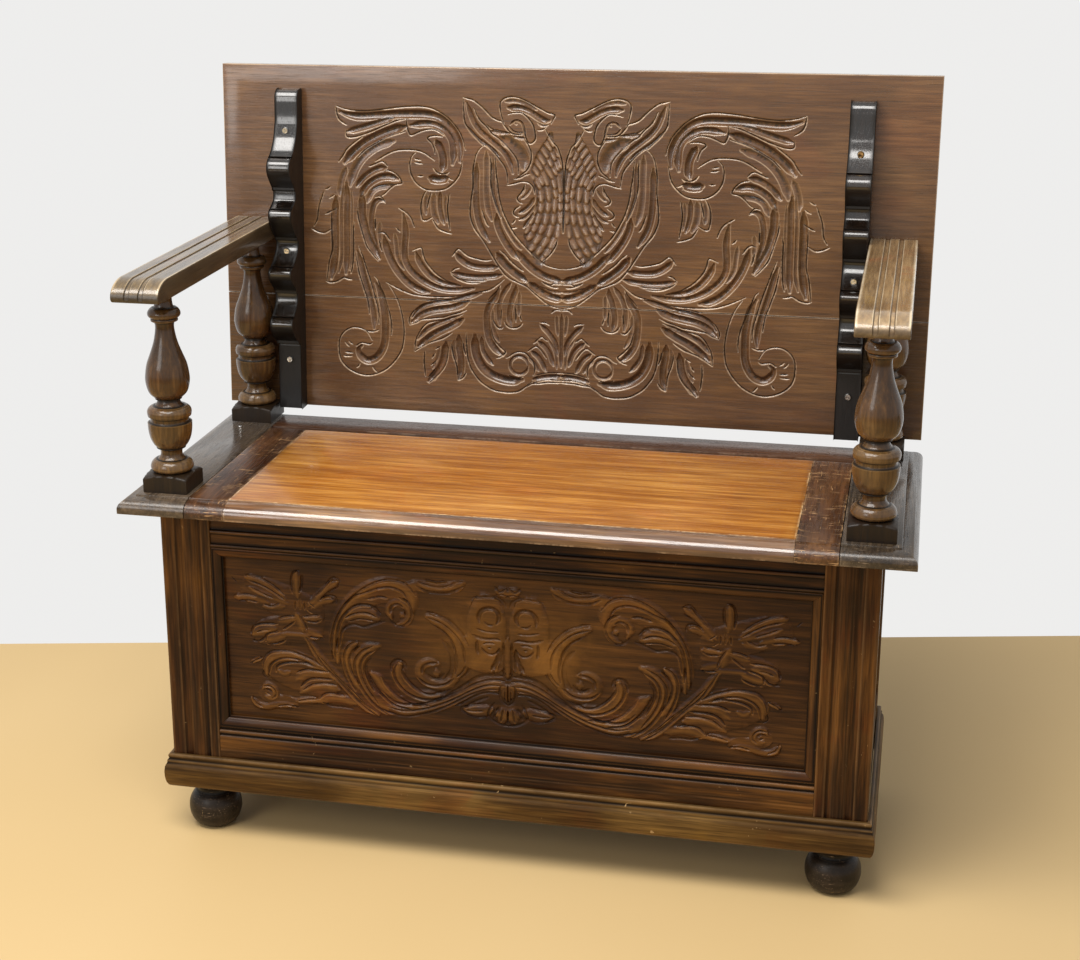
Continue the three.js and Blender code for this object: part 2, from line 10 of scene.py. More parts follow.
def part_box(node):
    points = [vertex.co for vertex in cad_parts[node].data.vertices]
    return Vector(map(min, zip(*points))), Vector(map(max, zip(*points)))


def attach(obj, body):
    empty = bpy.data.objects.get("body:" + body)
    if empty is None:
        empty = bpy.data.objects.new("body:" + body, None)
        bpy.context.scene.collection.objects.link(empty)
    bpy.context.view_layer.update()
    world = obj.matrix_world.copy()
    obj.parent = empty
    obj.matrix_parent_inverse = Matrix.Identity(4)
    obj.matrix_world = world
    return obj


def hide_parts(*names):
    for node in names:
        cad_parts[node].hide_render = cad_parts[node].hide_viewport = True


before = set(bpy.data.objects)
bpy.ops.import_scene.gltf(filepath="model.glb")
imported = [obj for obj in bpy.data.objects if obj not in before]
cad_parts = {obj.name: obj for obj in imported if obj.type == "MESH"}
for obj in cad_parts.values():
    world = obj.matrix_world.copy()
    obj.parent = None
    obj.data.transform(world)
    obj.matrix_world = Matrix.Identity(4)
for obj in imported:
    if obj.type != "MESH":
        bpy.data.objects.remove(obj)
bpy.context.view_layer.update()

MM = 0.001
# The sizes below are in millimetres, and so are all the shapes until add() makes them pieces.
SHIFT_Y = -2.144       # from the seat's middle to the frame's middle
CHEST_HALF, CHEST_REACH = 423.5, 160.5
POST_WIDTH, POST_DEPTH = 62, 38
FOOT_TOP, FRAME_TOP = 66, 431.7
TOP_RAIL_LOW, BOTTOM_RAIL_TOP = 383.7, 150
TOP_RAIL_HIGH, BOTTOM_RAIL_HIGH = 48, 84          # the rails' own heights
PANEL_BACK = 9.5       # how far the panels lie behind the faces of the rails
PANEL_TONGUE = 7       # how far they enter the grooves
SEAT_HALF, SEAT_REACH, SEAT_TOP = 461, 198, 452
LID_HALF, LID_CLEAT, LID_REAR = 377, 48, 124      # the lid's half width, its cleats' width and its rear edge
ARM_X, ARM_WIDTH, ARM_LOW, ARM_NOSE = 410, 57.8, 693.5, 699
ARM_FRONT, PIN_Y, PIN_Z = -230.144, 188.052, 707
POST_SQUARE, POST_ROUND, POST_HEIGHT = 27.2, 26.2, 240.9
LEAN = math.radians(3)
FACE = 11.3            # from the pins' axis to the show face of the back, square to it
TOP_HALF, TOP_RISE, TOP_LENGTH, TOP_THICK = 457.5, 207, 449.33, 20
TOP_JOINT = 299.55     # from the top edge of the back to the joint of its boards
BEARER_X, BEARER_THICK, BEARER_BACK, BEARER_DEPTH = 349.7, 30.6, 11.0, 57.3
BEARER_RISE, BEARER_LENGTH = 176, 418.33
GROOVE_RADIUS, GROOVE_RUN, GROOVE_DEPTH = 4.3, 205, 12.3
CARVING_MIDDLE, PANEL_MIDDLE = -3.5, -0.5         # where the two carvings are mirrored
CARVING_TOP = 380      # height that the front panel's carving is measured down from
WALLS = {              # turn, distance to the face, half the length, post's share of it
    "front": (0, CHEST_REACH, CHEST_HALF, POST_WIDTH),
    "right": (90, CHEST_HALF, CHEST_REACH, POST_DEPTH),
    "back": (180, CHEST_REACH, CHEST_HALF, POST_WIDTH),
    "left": (-90, CHEST_HALF, CHEST_REACH, POST_DEPTH),
}


# ---- Stage, camera and light ----

CAMERA_PLACE = (0.44605, -2.19957, 1.17553)
CAMERA_YAW = math.radians(13.244)


def add_camera():
    yaw, pitch, roll = CAMERA_YAW, math.radians(-17.400), math.radians(-0.428)
    forward = Vector((-math.sin(yaw) * math.cos(pitch), math.cos(yaw) * math.cos(pitch), math.sin(pitch)))
    level = Vector((math.cos(yaw), math.sin(yaw), 0))
    upright = level.cross(forward)
    right = level * math.cos(roll) + upright * math.sin(roll)
    up = upright * math.cos(roll) - level * math.sin(roll)
    data = bpy.data.cameras.new("camera")
    data.sensor_width, data.lens = 36, 64.4355
    data.shift_x, data.shift_y = 0.0584, -0.0223
    camera = bpy.data.objects.new("camera", data)
    camera.matrix_world = Matrix.Translation(CAMERA_PLACE) @ Matrix((right, up, -forward)).transposed().to_4x4()
    bpy.context.collection.objects.link(camera)
    bpy.context.scene.camera = camera


def add_light(name, place, target, size, power, colour):
    data = bpy.data.lights.new(name, "AREA")
    data.shape, data.size, data.size_y = "RECTANGLE", *size
    data.energy, data.color = power, colour
    lamp = bpy.data.objects.new(name, data)
    lamp.location = place
    lamp.rotation_euler = (Vector(target) - Vector(place)).to_track_quat("-Z", "Y").to_euler()
    bpy.context.collection.objects.link(lamp)


def add_node(tree, kind, settings=None, sockets=None):
    """A node with its settings, then its sockets: each is fed by a link or holds a value."""
    made = tree.nodes.new(kind)
    for key, value in (settings or {}).items():
        setattr(made, key, value)
    for key, value in (sockets or {}).items():
        feed(tree, made.inputs[key], value)
    return made


def feed(tree, socket, value):
    value = value.socket if isinstance(value, Level) else value
    if isinstance(value, bpy.types.NodeSocket):
        tree.links.new(value, socket)
    else:
        socket.default_value = value


class Level:
    """A number that varies over a surface. Arithmetic with it adds the nodes that work it out."""

    def __init__(self, recipe, socket):
        self.recipe, self.socket = recipe, socket

    def _maths(self, operation, *values):
        made = self.recipe.node("ShaderNodeMath", {"operation": operation}, dict(enumerate(values)))
        return Level(self.recipe, made.outputs[0])

    def __add__(self, other): return self._maths("ADD", self, other)
    def __sub__(self, other): return self._maths("SUBTRACT", self, other)
    def __rsub__(self, other): return self._maths("SUBTRACT", other, self)
    def __mul__(self, other): return self._maths("MULTIPLY", self, other)
    def least(self, other): return self._maths("MINIMUM", self, other)
    def most(self, other): return self._maths("MAXIMUM", self, other)
    def sine(self): return self._maths("SINE", self)
    __radd__, __rmul__ = __add__, __mul__

    def between(self, low, high):
        """0 below low, 1 above high and smooth in between, or falling where low is above high."""
        start, end = (0, 1) if low < high else (1, 0)
        made = self.recipe.node("ShaderNodeMapRange", {"interpolation_type": "SMOOTHSTEP"}, {
            "Value": self, "From Min": min(low, high), "From Max": max(low, high), "To Min": start, "To Max": end})
        return Level(self.recipe, made.outputs[0])


class Recipe:
    """A material in the making."""

    def __init__(self, name, **uniform):
        self.material = bpy.data.materials.new(name)
        self.material.use_nodes = True
        self.tree = self.material.node_tree
        self.tree.nodes.clear()
        self.shader = self.node("ShaderNodeBsdfPrincipled", {}, {k.replace("_", " "): v for k, v in uniform.items()})
        self.node("ShaderNodeOutputMaterial", {}, {"Surface": self.shader.outputs[0]})

    def node(self, kind, settings=None, sockets=None):
        return add_node(self.tree, kind, settings, sockets)

    def set(self, **sockets):
        for key, value in sockets.items():
            feed(self.tree, self.shader.inputs[key.replace("_", " ")], value)

    def place(self):
        return self.node("ShaderNodeTexCoord").outputs["Object"]

    def vector(self, operation, *values):
        return self.node("ShaderNodeVectorMath", {"operation": operation}, dict(enumerate(values))).outputs[0]

    def noise(self, place, scale, detail=2, distortion=0, roughness=0.5):
        return Level(self, self.node("ShaderNodeTexNoise", {}, {
            "Vector": place, "Scale": scale, "Detail": detail, "Distortion": distortion,
            "Roughness": roughness}).outputs[0])

    def mix(self, share, first, second, blend="MIX"):
        return self.node("ShaderNodeMix", {"data_type": "RGBA", "blend_type": blend, "clamp_factor": True},
                         {0: share, 6: first, 7: second}).outputs[2]

    def attribute(self, name):
        return self.node("ShaderNodeAttribute", {"attribute_name": name})

    def mark(self, name):
        return Level(self, self.attribute(name).outputs["Fac"])

    def parts(self, vector):
        return [Level(self, s) for s in self.node("ShaderNodeSeparateXYZ", {}, {0: vector}).outputs]


def tone(text):
    """A colour written as on a paint chart, in the renderer's own scale."""
    values = [int(text[i:i + 2], 16) / 255 for i in (0, 2, 4)]
    return (*((v / 12.92 if v < 0.04045 else ((v + 0.055) / 1.055) ** 2.4) for v in values), 1)


def tones_of(text):
    return tuple(tone(word) for word in text.split())


def add_stage():
    """A plain pale floor that ends behind the bench, and a white room past it."""
    far, half, deep = 2.79, 6, 12
    forward = Vector((-math.sin(CAMERA_YAW), math.cos(CAMERA_YAW), 0))
    side = Vector((math.cos(CAMERA_YAW), math.sin(CAMERA_YAW), 0))
    eye = Vector((*CAMERA_PLACE[:2], 0))
    corners = [eye + forward * (far - deep) - side * half, eye + forward * (far - deep) + side * half,
               eye + forward * far + side * half, eye + forward * far - side * half]
    mesh = bpy.data.meshes.new("floor")
    mesh.from_pydata(corners, [], [(0, 1, 2, 3)])
    floor = bpy.data.objects.new("floor", mesh)
    bpy.context.collection.objects.link(floor)
    recipe = Recipe("pale floor", Roughness=0.6)
    cloud = recipe.noise(recipe.place(), 1.5, 2)
    recipe.set(Base_Color=recipe.mix(cloud, tone("d2b37c"), tone("dcbf8c")))
    mesh.materials.append(recipe.material)
    add_room()
    add_light("window above", (-0.5, -1.1, 2.7), (0, 0, 0.4), (2.0, 1.2), 84, (1, 0.97, 0.93))
    add_light("window in front", (-1.6, -2.6, 1.6), (0, 0, 0.4), (1.1, 1.3), 22, (1, 0.98, 0.95))
    bpy.context.scene.view_settings.view_transform = "Standard"


def add_room():
    """White where the camera or a polished face sees it, dimmer as light on the bench."""
    world = bpy.context.scene.world or bpy.data.worlds.new("room")
    bpy.context.scene.world = world
    world.use_nodes = True
    tree = world.node_tree
    tree.nodes.clear()
    path = add_node(tree, "ShaderNodeLightPath")
    seen = path.outputs["Is Camera Ray"]
    for other in ("Is Glossy Ray", "Is Transmission Ray"):
        either = add_node(tree, "ShaderNodeMath", {"operation": "MAXIMUM"}, {0: seen, 1: path.outputs[other]})
        seen = either.outputs[0]
    light = add_node(tree, "ShaderNodeBackground", {}, {"Color": (1, 0.985, 0.96, 1), "Strength": 0.37})
    room = add_node(tree, "ShaderNodeBackground", {}, {"Color": (0.9, 0.895, 0.885, 1), "Strength": 0.95})
    both = add_node(tree, "ShaderNodeMixShader", {}, {0: seen, 1: light.outputs[0], 2: room.outputs[0]})
    add_node(tree, "ShaderNodeOutputWorld", {}, {"Surface": both.outputs[0]})


# ---- Finishes ----

GRAIN = {"x": (0.055, 1, 1), "y": (1, 0.055, 1), "z": (1, 1, 0.055)}


def darker(colour, share):
    return (*(share * c for c in colour[:3]), 1)


def oak(name, grain, tones, rub, shine, figure=0.5, banding=1.0, rubbing=0.5, grime=0.6, coat=0.0, gloss=0.42,
        scratches=0.0, chips=0.0, cloudy=0.6, vary=0.4, dusty=1.0):
    """Oak with its grain along one axis. Tones run from dark to pale; rub is the colour where hands and feet
    have worn the dark finish away. Pieces carry their own marks: crest, hollow, shift, low and high; hollow
    holds dirt and painted shade, and on carving crest also holds painted highlights."""
    recipe = Recipe(name, Specular_IOR_Level=gloss, Coat_Roughness=0.12)
    place = recipe.place()
    at = recipe.vector("ADD", place, recipe.attribute("shift").outputs["Vector"])
    run = recipe.vector("MULTIPLY", at, GRAIN[grain])
    long_run = recipe.vector("MULTIPLY", at, tuple(0.35 * s if s < 1 else 1 for s in GRAIN[grain]))
    # The grain, from the broadest figure down to the pores.
    broad = recipe.noise(at, 5, 2, 0.3)
    band = recipe.noise(run, 16, 3, 0.5)
    streak = recipe.noise(run, 90, 3, 0.4)
    thread = recipe.noise(run, 260, 3, 0.3)
    fine = recipe.noise(run, 600, 2)
    pores = recipe.noise(long_run, 1350, 1).between(0.56, 0.72)
    rings = (band * 46 + streak * 5).sine() * 0.5 + 0.5
    body = (band.between(0.3, 0.7) * (0.35 * banding) + streak.between(0.3, 0.72) * (0.5 * figure)
            + thread.between(0.3, 0.7) * 0.35 + rings * (0.2 * figure * banding) + fine * 0.3)
    middle = 0.175 * banding + 0.25 * figure + 0.325 + 0.1 * figure * banding
    body = body.between(middle - 0.62, middle + 0.62)
    colour = recipe.mix(body, tones[0], tones[1])
    colour = recipe.mix((broad.between(0.38, 0.68) * cloudy + streak.between(0.45, 0.8) * (0.6 * figure)
                         + thread.between(0.5, 0.8) * 0.25) * body, colour, tones[2])
    cloud = recipe.noise(at, 11, 3, 0.8, 0.6)
    colour = recipe.mix(cloud.between(0.52, 0.72) * vary, colour, (1.05, 0.8, 0.74, 1), "MULTIPLY")
    colour = recipe.mix(cloud.between(0.46, 0.28) * vary, colour, (1.12, 1.1, 0.8, 1), "MULTIPLY")
    colour = recipe.mix(pores * 0.5, colour, darker(tones[0], 0.35))
    # Wear on the edges and crests, which on carving also hold painted highlights; dirt along the edges, and dirt
    # with painted shade in the hollows. Edge is how far off the nearest edge of the piece's box is.
    crest, deep = recipe.mark("crest"), recipe.mark("hollow").between(0.2, 1.0)
    to_low = recipe.vector("SUBTRACT", place, recipe.attribute("low").outputs["Vector"])
    to_high = recipe.vector("SUBTRACT", recipe.attribute("high").outputs["Vector"], place)
    x, y, z = recipe.parts(recipe.vector("MINIMUM", to_low, to_high))
    edge = x.least(y).most(x.most(y).least(z))
    patch = recipe.noise(at, 22, 4, 0.6, 0.65)
    grit = recipe.noise(at, 260, 3)
    brink = (edge + (patch - 0.5) * 0.006).between(0.0032, 0.0004)
    worn = (brink * patch.between(0.42, 0.62) * grit.between(0.25, 0.6)
            + crest * (patch.between(0.3, 0.7) * 0.6 + 0.4))
    colour = recipe.mix(worn.least(1) * rubbing, colour, rub)
    # Dirt, with painted shade carried in by the hollow mark, darkens the colour here.
    dirt_and_shade = deep.most((edge + (patch - 0.5) * 0.012).between(0.007, 0.0005) * (1 - worn.least(1)) * 0.5)
    colour = recipe.mix(dirt_and_shade * grime, colour, darker(tones[0], 0.2))
    rough = shine + (fine - 0.5) * 0.14 + (patch - 0.5) * 0.2 + deep * (0.25 * dusty) + pores * 0.15
    if scratches:
        lines = recipe.noise(recipe.vector("MULTIPLY", at, (0.06, 1, 1)), 900, 1, 0.1).between(0.66, 0.72)
        cross = recipe.noise(recipe.vector("MULTIPLY", at, (1, 0.05, 1)), 700, 1, 0.1).between(0.7, 0.76)
        marks = (lines.most(cross) * patch.between(0.42, 0.55)) * scratches
        colour = recipe.mix(marks, colour, rub)
        rough = rough + marks * 0.2
    if chips:
        spots = recipe.noise(at, 120, 2, 1.5).between(0.72, 0.75) * patch.between(0.5, 0.6)
        colour = recipe.mix(spots * chips, colour, tone("c9a878"))
    relief = rings * 0.12 * banding + fine * 0.4 - pores * 0.8 + thread * 0.3
    bump = recipe.node("ShaderNodeBump", {}, {"Strength": 0.25, "Distance": 0.0006, "Height": relief})
    recipe.set(Base_Color=colour, Roughness=rough.most(0.08), Normal=bump.outputs[0])
    if coat:
        recipe.set(Coat_Weight=(1 - deep * (0.7 * dusty)) * coat)
    return recipe.material


# ---- Shapes ----

def smooth(points, step=None):
    """A smooth curve through the points, in even steps if a step is given."""
    p = np.array(points, float)
    if len(p) > 2:
        q = np.vstack([2 * p[0] - p[1], p, 2 * p[-1] - p[-2]])
        t = np.linspace(0, 1, 8, endpoint=False)[:, None]
        p = np.vstack([0.5 * (2 * b + (c - a) * t + (2 * a - 5 * b + 4 * c - d) * t ** 2
                              + (3 * b - a - 3 * c + d) * t ** 3)
                       for a, b, c, d in zip(q, q[1:], q[2:], q[3:])] + [p[-1:]])
    return p if step is None else evened(p, step)


def evened(p, step):
    """The same line in even steps."""
    p = np.array(p, float)
    run = np.r_[0, np.cumsum(np.linalg.norm(np.diff(p, axis=0), axis=1))]
    at = np.linspace(0, run[-1], max(3, int(round(run[-1] / step)) + 1))
    return np.stack([np.interp(at, run, p[:, k]) for k in range(p.shape[1])], 1)


def filled(points, step):
    """The same outline with points added along its long straights."""
    out = []
    for a, b in zip(points, points[1:]):
        a, b = np.array(a, float), np.array(b, float)
        n = max(1, int(np.linalg.norm(b - a) / step))
        out += [a + (b - a) * i / n for i in range(n)]
    return np.array(out + [np.array(points[-1], float)])


def curve(centre, radii, start, end, count=10):
    """An arc of an ellipse, from one angle to another in degrees."""
    angles = np.radians(np.linspace(start, end, count + 1))
    return [(centre[0] + radii[0] * math.cos(a), centre[1] + radii[1] * math.sin(a)) for a in angles]


def loft(rings):
    """Faces over rings of points, with both ends closed."""
    rings = np.array(rings, float)
    m, n = rings.shape[:2]
    i, j = np.meshgrid(np.arange(m - 1), np.arange(n), indexing="ij")
    k = (j + 1) % n
    faces = np.stack([i * n + j, i * n + k, (i + 1) * n + k, (i + 1) * n + j], -1).reshape(-1, 4).tolist()
    return rings.reshape(-1, 3), faces + [list(range(n))[::-1], list(range((m - 1) * n, m * n))]


def swept(outline, stations, place):
    """An outline of [u, v] points carried to each station along a straight line."""
    return loft([[place(u, v, s) for u, v in outline] for s in stations])


shifts = np.random.default_rng(7)
SPREAD = 4.5


def mesh_of(name, shape, unit=1):
    """A mesh whose faces all look outwards."""
    verts, faces = shape
    mesh = bpy.data.meshes.new(name)
    mesh.from_pydata((np.array(verts) * unit).tolist(), [], faces)
    work = bmesh.new()
    work.from_mesh(mesh)
    bmesh.ops.recalc_face_normals(work, faces=work.faces)
    work.to_mesh(mesh)
    work.free()
    return mesh


def read(mesh, key):
    """The places or the normals of a mesh's points."""
    values = np.zeros(len(mesh.vertices) * 3)
    mesh.vertices.foreach_get(key, values)
    return values.reshape(-1, 3)


def linked(name, mesh):
    made = bpy.data.objects.new(name, mesh)
    bpy.context.collection.objects.link(made)
    return made


def baked(guide):
    """What an object's modifiers make of it, as a plain mesh."""
    bpy.context.view_layer.update()
    return bpy.data.meshes.new_from_object(guide.evaluated_get(bpy.context.evaluated_depsgraph_get()))


def add(name, shape, body, finish, stands_for=None, sharp=50, boxed=False, marks=None, curved=False, darkening=None,
        bright=1.0):
    """A piece in the frame, with the marks that its finish reads, on its body.

    Edges sharper than sharp degrees stay sharp. A boxed piece wears along the edges of its box. On a curved one
    the marks follow its bends, and dirt and painted shade spread by SPREAD, or by the number that curved gives."""
    mesh = mesh_of(name, shape, MM)
    at, count = read(mesh, "co"), len(mesh.vertices)
    if marks is None:
        marks = bends(mesh, at, SPREAD if curved is True else curved) if curved else {}
    if bright != 1:
        marks["crest"] = np.minimum(marks["crest"] * bright, 1)
    # Darkening by place and facing, which takes wear off; on the arms and the bearers it is painted shade.
    if darkening:
        dark = darkening(at / MM, read(mesh, "normal"))
        marks = {"crest": marks["crest"] * (1 - dark), "hollow": np.maximum(marks["hollow"], dark)}
    low, high = (at.min(0), at.max(0)) if boxed else ((-9, -9, -9), (9, 9, 9))
    for key, value in (("shift", shifts.uniform(-3, 3, 3)), ("low", low), ("high", high)):
        mesh.attributes.new(key, "FLOAT_VECTOR", "POINT").data.foreach_set(
            "vector", np.tile(np.array(value, np.float32), count))
    for key in ("crest", "hollow"):
        mesh.attributes.new(key, "FLOAT", "POINT").data.foreach_set(
            "value", np.array(marks.get(key, np.zeros(count)), np.float32))
    round_faces = np.ones(len(mesh.polygons), bool)
    level = marks.get("level", [])
    round_faces[:len(level)] = ~np.array(level, bool)
    mesh.polygons.foreach_set("use_smooth", round_faces)
    mesh.set_sharp_from_angle(angle=math.radians(sharp))
    mesh.materials.append(finishes[finish])
    piece = linked(name, mesh)
    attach(piece, body)
    if stands_for:
        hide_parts(stands_for)


def bends(mesh, at, reach):
    """How far each point stands out of its neighbours or lies among them, 0 to 1. Dirt and painted shade spread over
    the reach.
    """
    count, normal = len(at), read(mesh, "normal")
    ends = np.zeros(len(mesh.edges) * 2, int)
    mesh.edges.foreach_get("vertices", ends)
    a, b = ends.reshape(-1, 2).T
    gap = at[b] - at[a]
    square = np.maximum((gap ** 2).sum(1), 1e-12)
    total, number = np.zeros(count), np.zeros(count)
    for one, way in ((a, -1), (b, 1)):
        np.add.at(total, one, way * (normal[one] * gap).sum(1) / square)
        np.add.at(number, one, 1)
    bend = total / np.maximum(number, 1)
    crest, hollow = np.clip(bend / 160, 0, 1), np.clip(-bend / 130, 0, 1)
    # The dark of each crease spreads outwards: dirt with painted shade.
    fade = np.sqrt(square) / (reach * MM)
    for _ in range(5):
        grown = hollow.copy()
        np.maximum.at(grown, b, hollow[a] - fade)
        np.maximum.at(grown, a, hollow[b] - fade)
        hollow = grown
    return {"crest": crest * (1 - hollow), "hollow": hollow}


def board(low, high, ease):
    """A squared board with its arrises eased."""
    work = bmesh.new()
    bmesh.ops.create_cube(work, size=1)
    low, high = np.array(low, float), np.array(high, float)
    for v in work.verts:
        v.co = Vector(tuple((low + high) / 2 + np.array(v.co) * (high - low)))
    bmesh.ops.bevel(work, geom=list(work.edges), offset=ease, segments=2, profile=0.5, affect="EDGES")
    return taken(work)


def taken(work):
    """The shape that was worked on. Bevels leave points and faces in any order, so both are put in a fixed one."""
    work.verts.index_update()
    at = np.array([v.co for v in work.verts])
    order = np.lexsort(np.round(at, 4).T)
    rank = np.argsort(order).tolist()
    faces = []
    for face in work.faces:
        ring = [rank[v.index] for v in face.verts]
        first = ring.index(min(ring))
        faces.append(ring[first:] + ring[:first])
    work.free()
    return at[order], sorted(faces)


def turned(shape, degrees):
    """From the chest's front to another of its walls."""
    verts, faces = shape
    a = math.radians(degrees)
    spin = np.array([[math.cos(a), -math.sin(a), 0], [math.sin(a), math.cos(a), 0], [0, 0, 1]])
    return np.array(verts) @ spin.T + np.array((0, SHIFT_Y, 0)), faces


def leaned(shape):
    """From the upright back, measured from the pins' axis, to its place in the frame."""
    verts, faces = shape
    x, y, z = np.array(verts, float).T
    return np.stack([x, PIN_Y + y * math.cos(LEAN) + z * math.sin(LEAN),
                     PIN_Z - y * math.sin(LEAN) + z * math.cos(LEAN)], 1), faces


def on_lathe(profile, square=None, parts=72):
    """A shape turned on a lathe, kept inside a square of half that width if one is given."""
    angles = np.radians(np.arange(parts) * 360 / parts + 45)
    reach = 1e9 if square is None else square / np.maximum(abs(np.cos(angles)), abs(np.sin(angles)))
    return loft([np.stack([np.minimum(r, reach) * np.cos(angles), np.minimum(r, reach) * np.sin(angles),
                           np.full(parts, h)], 1) for r, h in profile])


def box_of(node):
    return (np.array(v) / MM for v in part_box(node))


def put_at_node(shape, node, z=0):
    """A shape moved to the middle of a node's box, seen from above."""
    low, high = box_of(node)
    x, y = (low[:2] + high[:2]) / 2
    return shape[0] + np.array([x, y, z]), shape[1]


def grain_of(wall):
    return "x" if wall in ("front", "back") else "y"


# ---- Chest ----

FOOT = [(0.5, 0), (0.74, 0.05), (0.9, 0.15), (0.985, 0.28), (1, 0.38), (0.97, 0.5), (0.87, 0.61), (0.73, 0.69)]
FOOT_NECK = [(0.68, 0.705), (0.655, 0.74), (0.66, 0.79), (0.7, 0.83), (0.73, 0.87), (0.73, 0.93), (0.7, 1)]


def add_feet():
    radius, height = 33, 65.7
    outline = [(r * radius, h * height) for run in (FOOT, FOOT_NECK) for r, h in smooth(run)]
    for end in ("front", "rear"):
        for side in ("left", "right"):
            node = f"foot_{end}_{side}"
            add(f"bun_foot_{end}_{side}", put_at_node(on_lathe(outline), node), "chest", "black turned", node,
                sharp=38, curved=True, bright=2)


def add_plinth():
    steps = [(0, 43), (3.2, 43), (4.4, 42.2), (4.9, 40.4), (4.4, 38.6), (4.1, 37.2), (4.3, 36), (5.6, 35.4),
             (6.3, 34.2), (6.1, 32.4), (6.3, 31.2), (7.6, 29.6), (8.7, 26.6), (9.3, 22.6), (9.5, 18.5), (9.3, 13.5),
             (8.7, 9), (7.7, 5), (6.3, 2), (4.6, 0), (0, 0)]
    outline = filled(steps, 1.6)
    for name, (turn, reach, half, _) in WALLS.items():
        ends = [[(way * (half + u), -reach - 0.3 - u * (9.2 / 9.5), FOOT_TOP + v) for u, v in outline]
                for way in (-1, 1)]
        rings = [np.array(ends[0]) * (1 - t) + np.array(ends[1]) * t for t in np.linspace(0, 1, int(half / 12))]
        add(f"plinth_moulding_{name}", turned(loft(rings), turn), "chest", f"worn {grain_of(name)}",
            f"plinth_{name}", curved=True)


def bead(centre, radius, base):
    """A round bead standing up from the base, in [cut, height] points."""
    return [(base - math.sin(a) * base, centre - math.cos(a) * radius) for a in np.linspace(0, math.pi, 9)]


# The faces of the rails: how deep they are cut, as a share of RAIL_CUT, and the height.
TOP_RAIL = [(0.7, 0), *bead(2.6, 2.2, 0.7), (0.7, 5.4), (0.7, 16), (0.55, 17.2), *bead(19.8, 2.4, 0.7), (0.9, 22.6),
            (1.0, 23.2), (1, TOP_RAIL_HIGH)]
BOTTOM_RAIL = [(0, 0), (0, 53), (0.14, 54.2), (0.14, 55.8), (0, 57), (0, 64), (0.12, 68), (0.12, 70.6), (0.2, 71.4),
               (0.8, 72.5), (0.8, 74.5), (0.15, 75.4), (0, 76.4), (0, 78.6), (0.2, 79.4), (0.95, 80.4), (0.95, 83),
               (0.3, 83.6), (0, BOTTOM_RAIL_HIGH)]
RAIL_CUT = 3


def add_rails():
    for name, (turn, reach, half, post) in WALLS.items():
        face, end = -reach + 1, half - post - 0.3
        for part, profile, low, height in (("top", TOP_RAIL, TOP_RAIL_LOW, TOP_RAIL_HIGH),
                                           ("bottom", BOTTOM_RAIL, FOOT_TOP, BOTTOM_RAIL_HIGH)):
            shares = [(0, 0), (0, height)] if name == "back" else profile
            outline = [(face + RAIL_CUT * c, low + h) for c, h in filled(shares, 1.6)]
            outline += [(face + 24, low + height), (face + 24, low)]
            shape = swept(outline, np.linspace(-end, end, max(3, int(end / 10))), lambda u, v, s: (s, u, v))
            add(f"{part}_rail_{name}", turned(shape, turn), "chest", f"dark {grain_of(name)}",
                f"rail_{name}_{part}", curved=True)


def add_posts():
    # From the inner edge: a flat, a hollow, a reed, a hollow and an outer flat with a bevelled arris.
    reeded = [(0, 1.2), (0.6, 0.3), (1.4, 0), (10.6, 0), (11.6, 0.4), (12.4, 1.6), (13.6, 2.7), (15, 3), (16.4, 2.6),
              (17.6, 1.9), (19, 1.1), (22, 0.4), (26.5, 0.1), (31, 0.4), (34, 1.1), (35.6, 2), (36.8, 2.7), (38.4, 3),
              (41, 2.8), (43.2, 2.2), (44.4, 1.2), (45.2, 0.3), (46.2, 0), (59, 0), (60.4, 0.5), (61.5, 1.6), (62, 3)]
    plain = [(0, 1), (0.3, 0.3), (1, 0), (61, 0), (61.7, 0.3), (62, 1)]
    inner_x, inner_y = CHEST_HALF - POST_WIDTH, CHEST_REACH - POST_DEPTH
    for side, way in (("left", -1), ("right", 1)):
        for end, face in (("front", -1), ("rear", 1)):
            profile = [(inner_x + a, CHEST_REACH - c) for a, c in filled(reeded if end == "front" else plain, 1.5)]
            profile += [(CHEST_HALF, inner_y + 0.5), (CHEST_HALF - 0.5, inner_y), (inner_x, inner_y)]
            outline = [(way * x, face * y + SHIFT_Y) for x, y in profile]
            shape = swept(outline, np.linspace(FOOT_TOP, FRAME_TOP, 40), lambda u, v, s: (u, v, s))
            add(f"corner_post_{end}_{side}", shape, "chest", "dark z", f"post_{end}_{side}", curved=True)


def add_panels():
    for name, (turn, reach, half, post) in WALLS.items():
        if name == "front":
            continue
        wide, face = half - post + PANEL_TONGUE, -reach + PANEL_BACK
        shape = board((-wide, face, BOTTOM_RAIL_TOP - PANEL_TONGUE), (wide, face + 10, TOP_RAIL_LOW + PANEL_TONGUE),
                      0.5)
        add(f"plain_panel_{name}", turned(shape, turn), "chest", f"panel {grain_of(name)}", f"panel_{name}",
            sharp=38)
    low, high = box_of("bottom_board")
    add("chest_floor", board(low, high, 0.5), "chest", "panel x", "bottom_board", sharp=38, boxed=True)


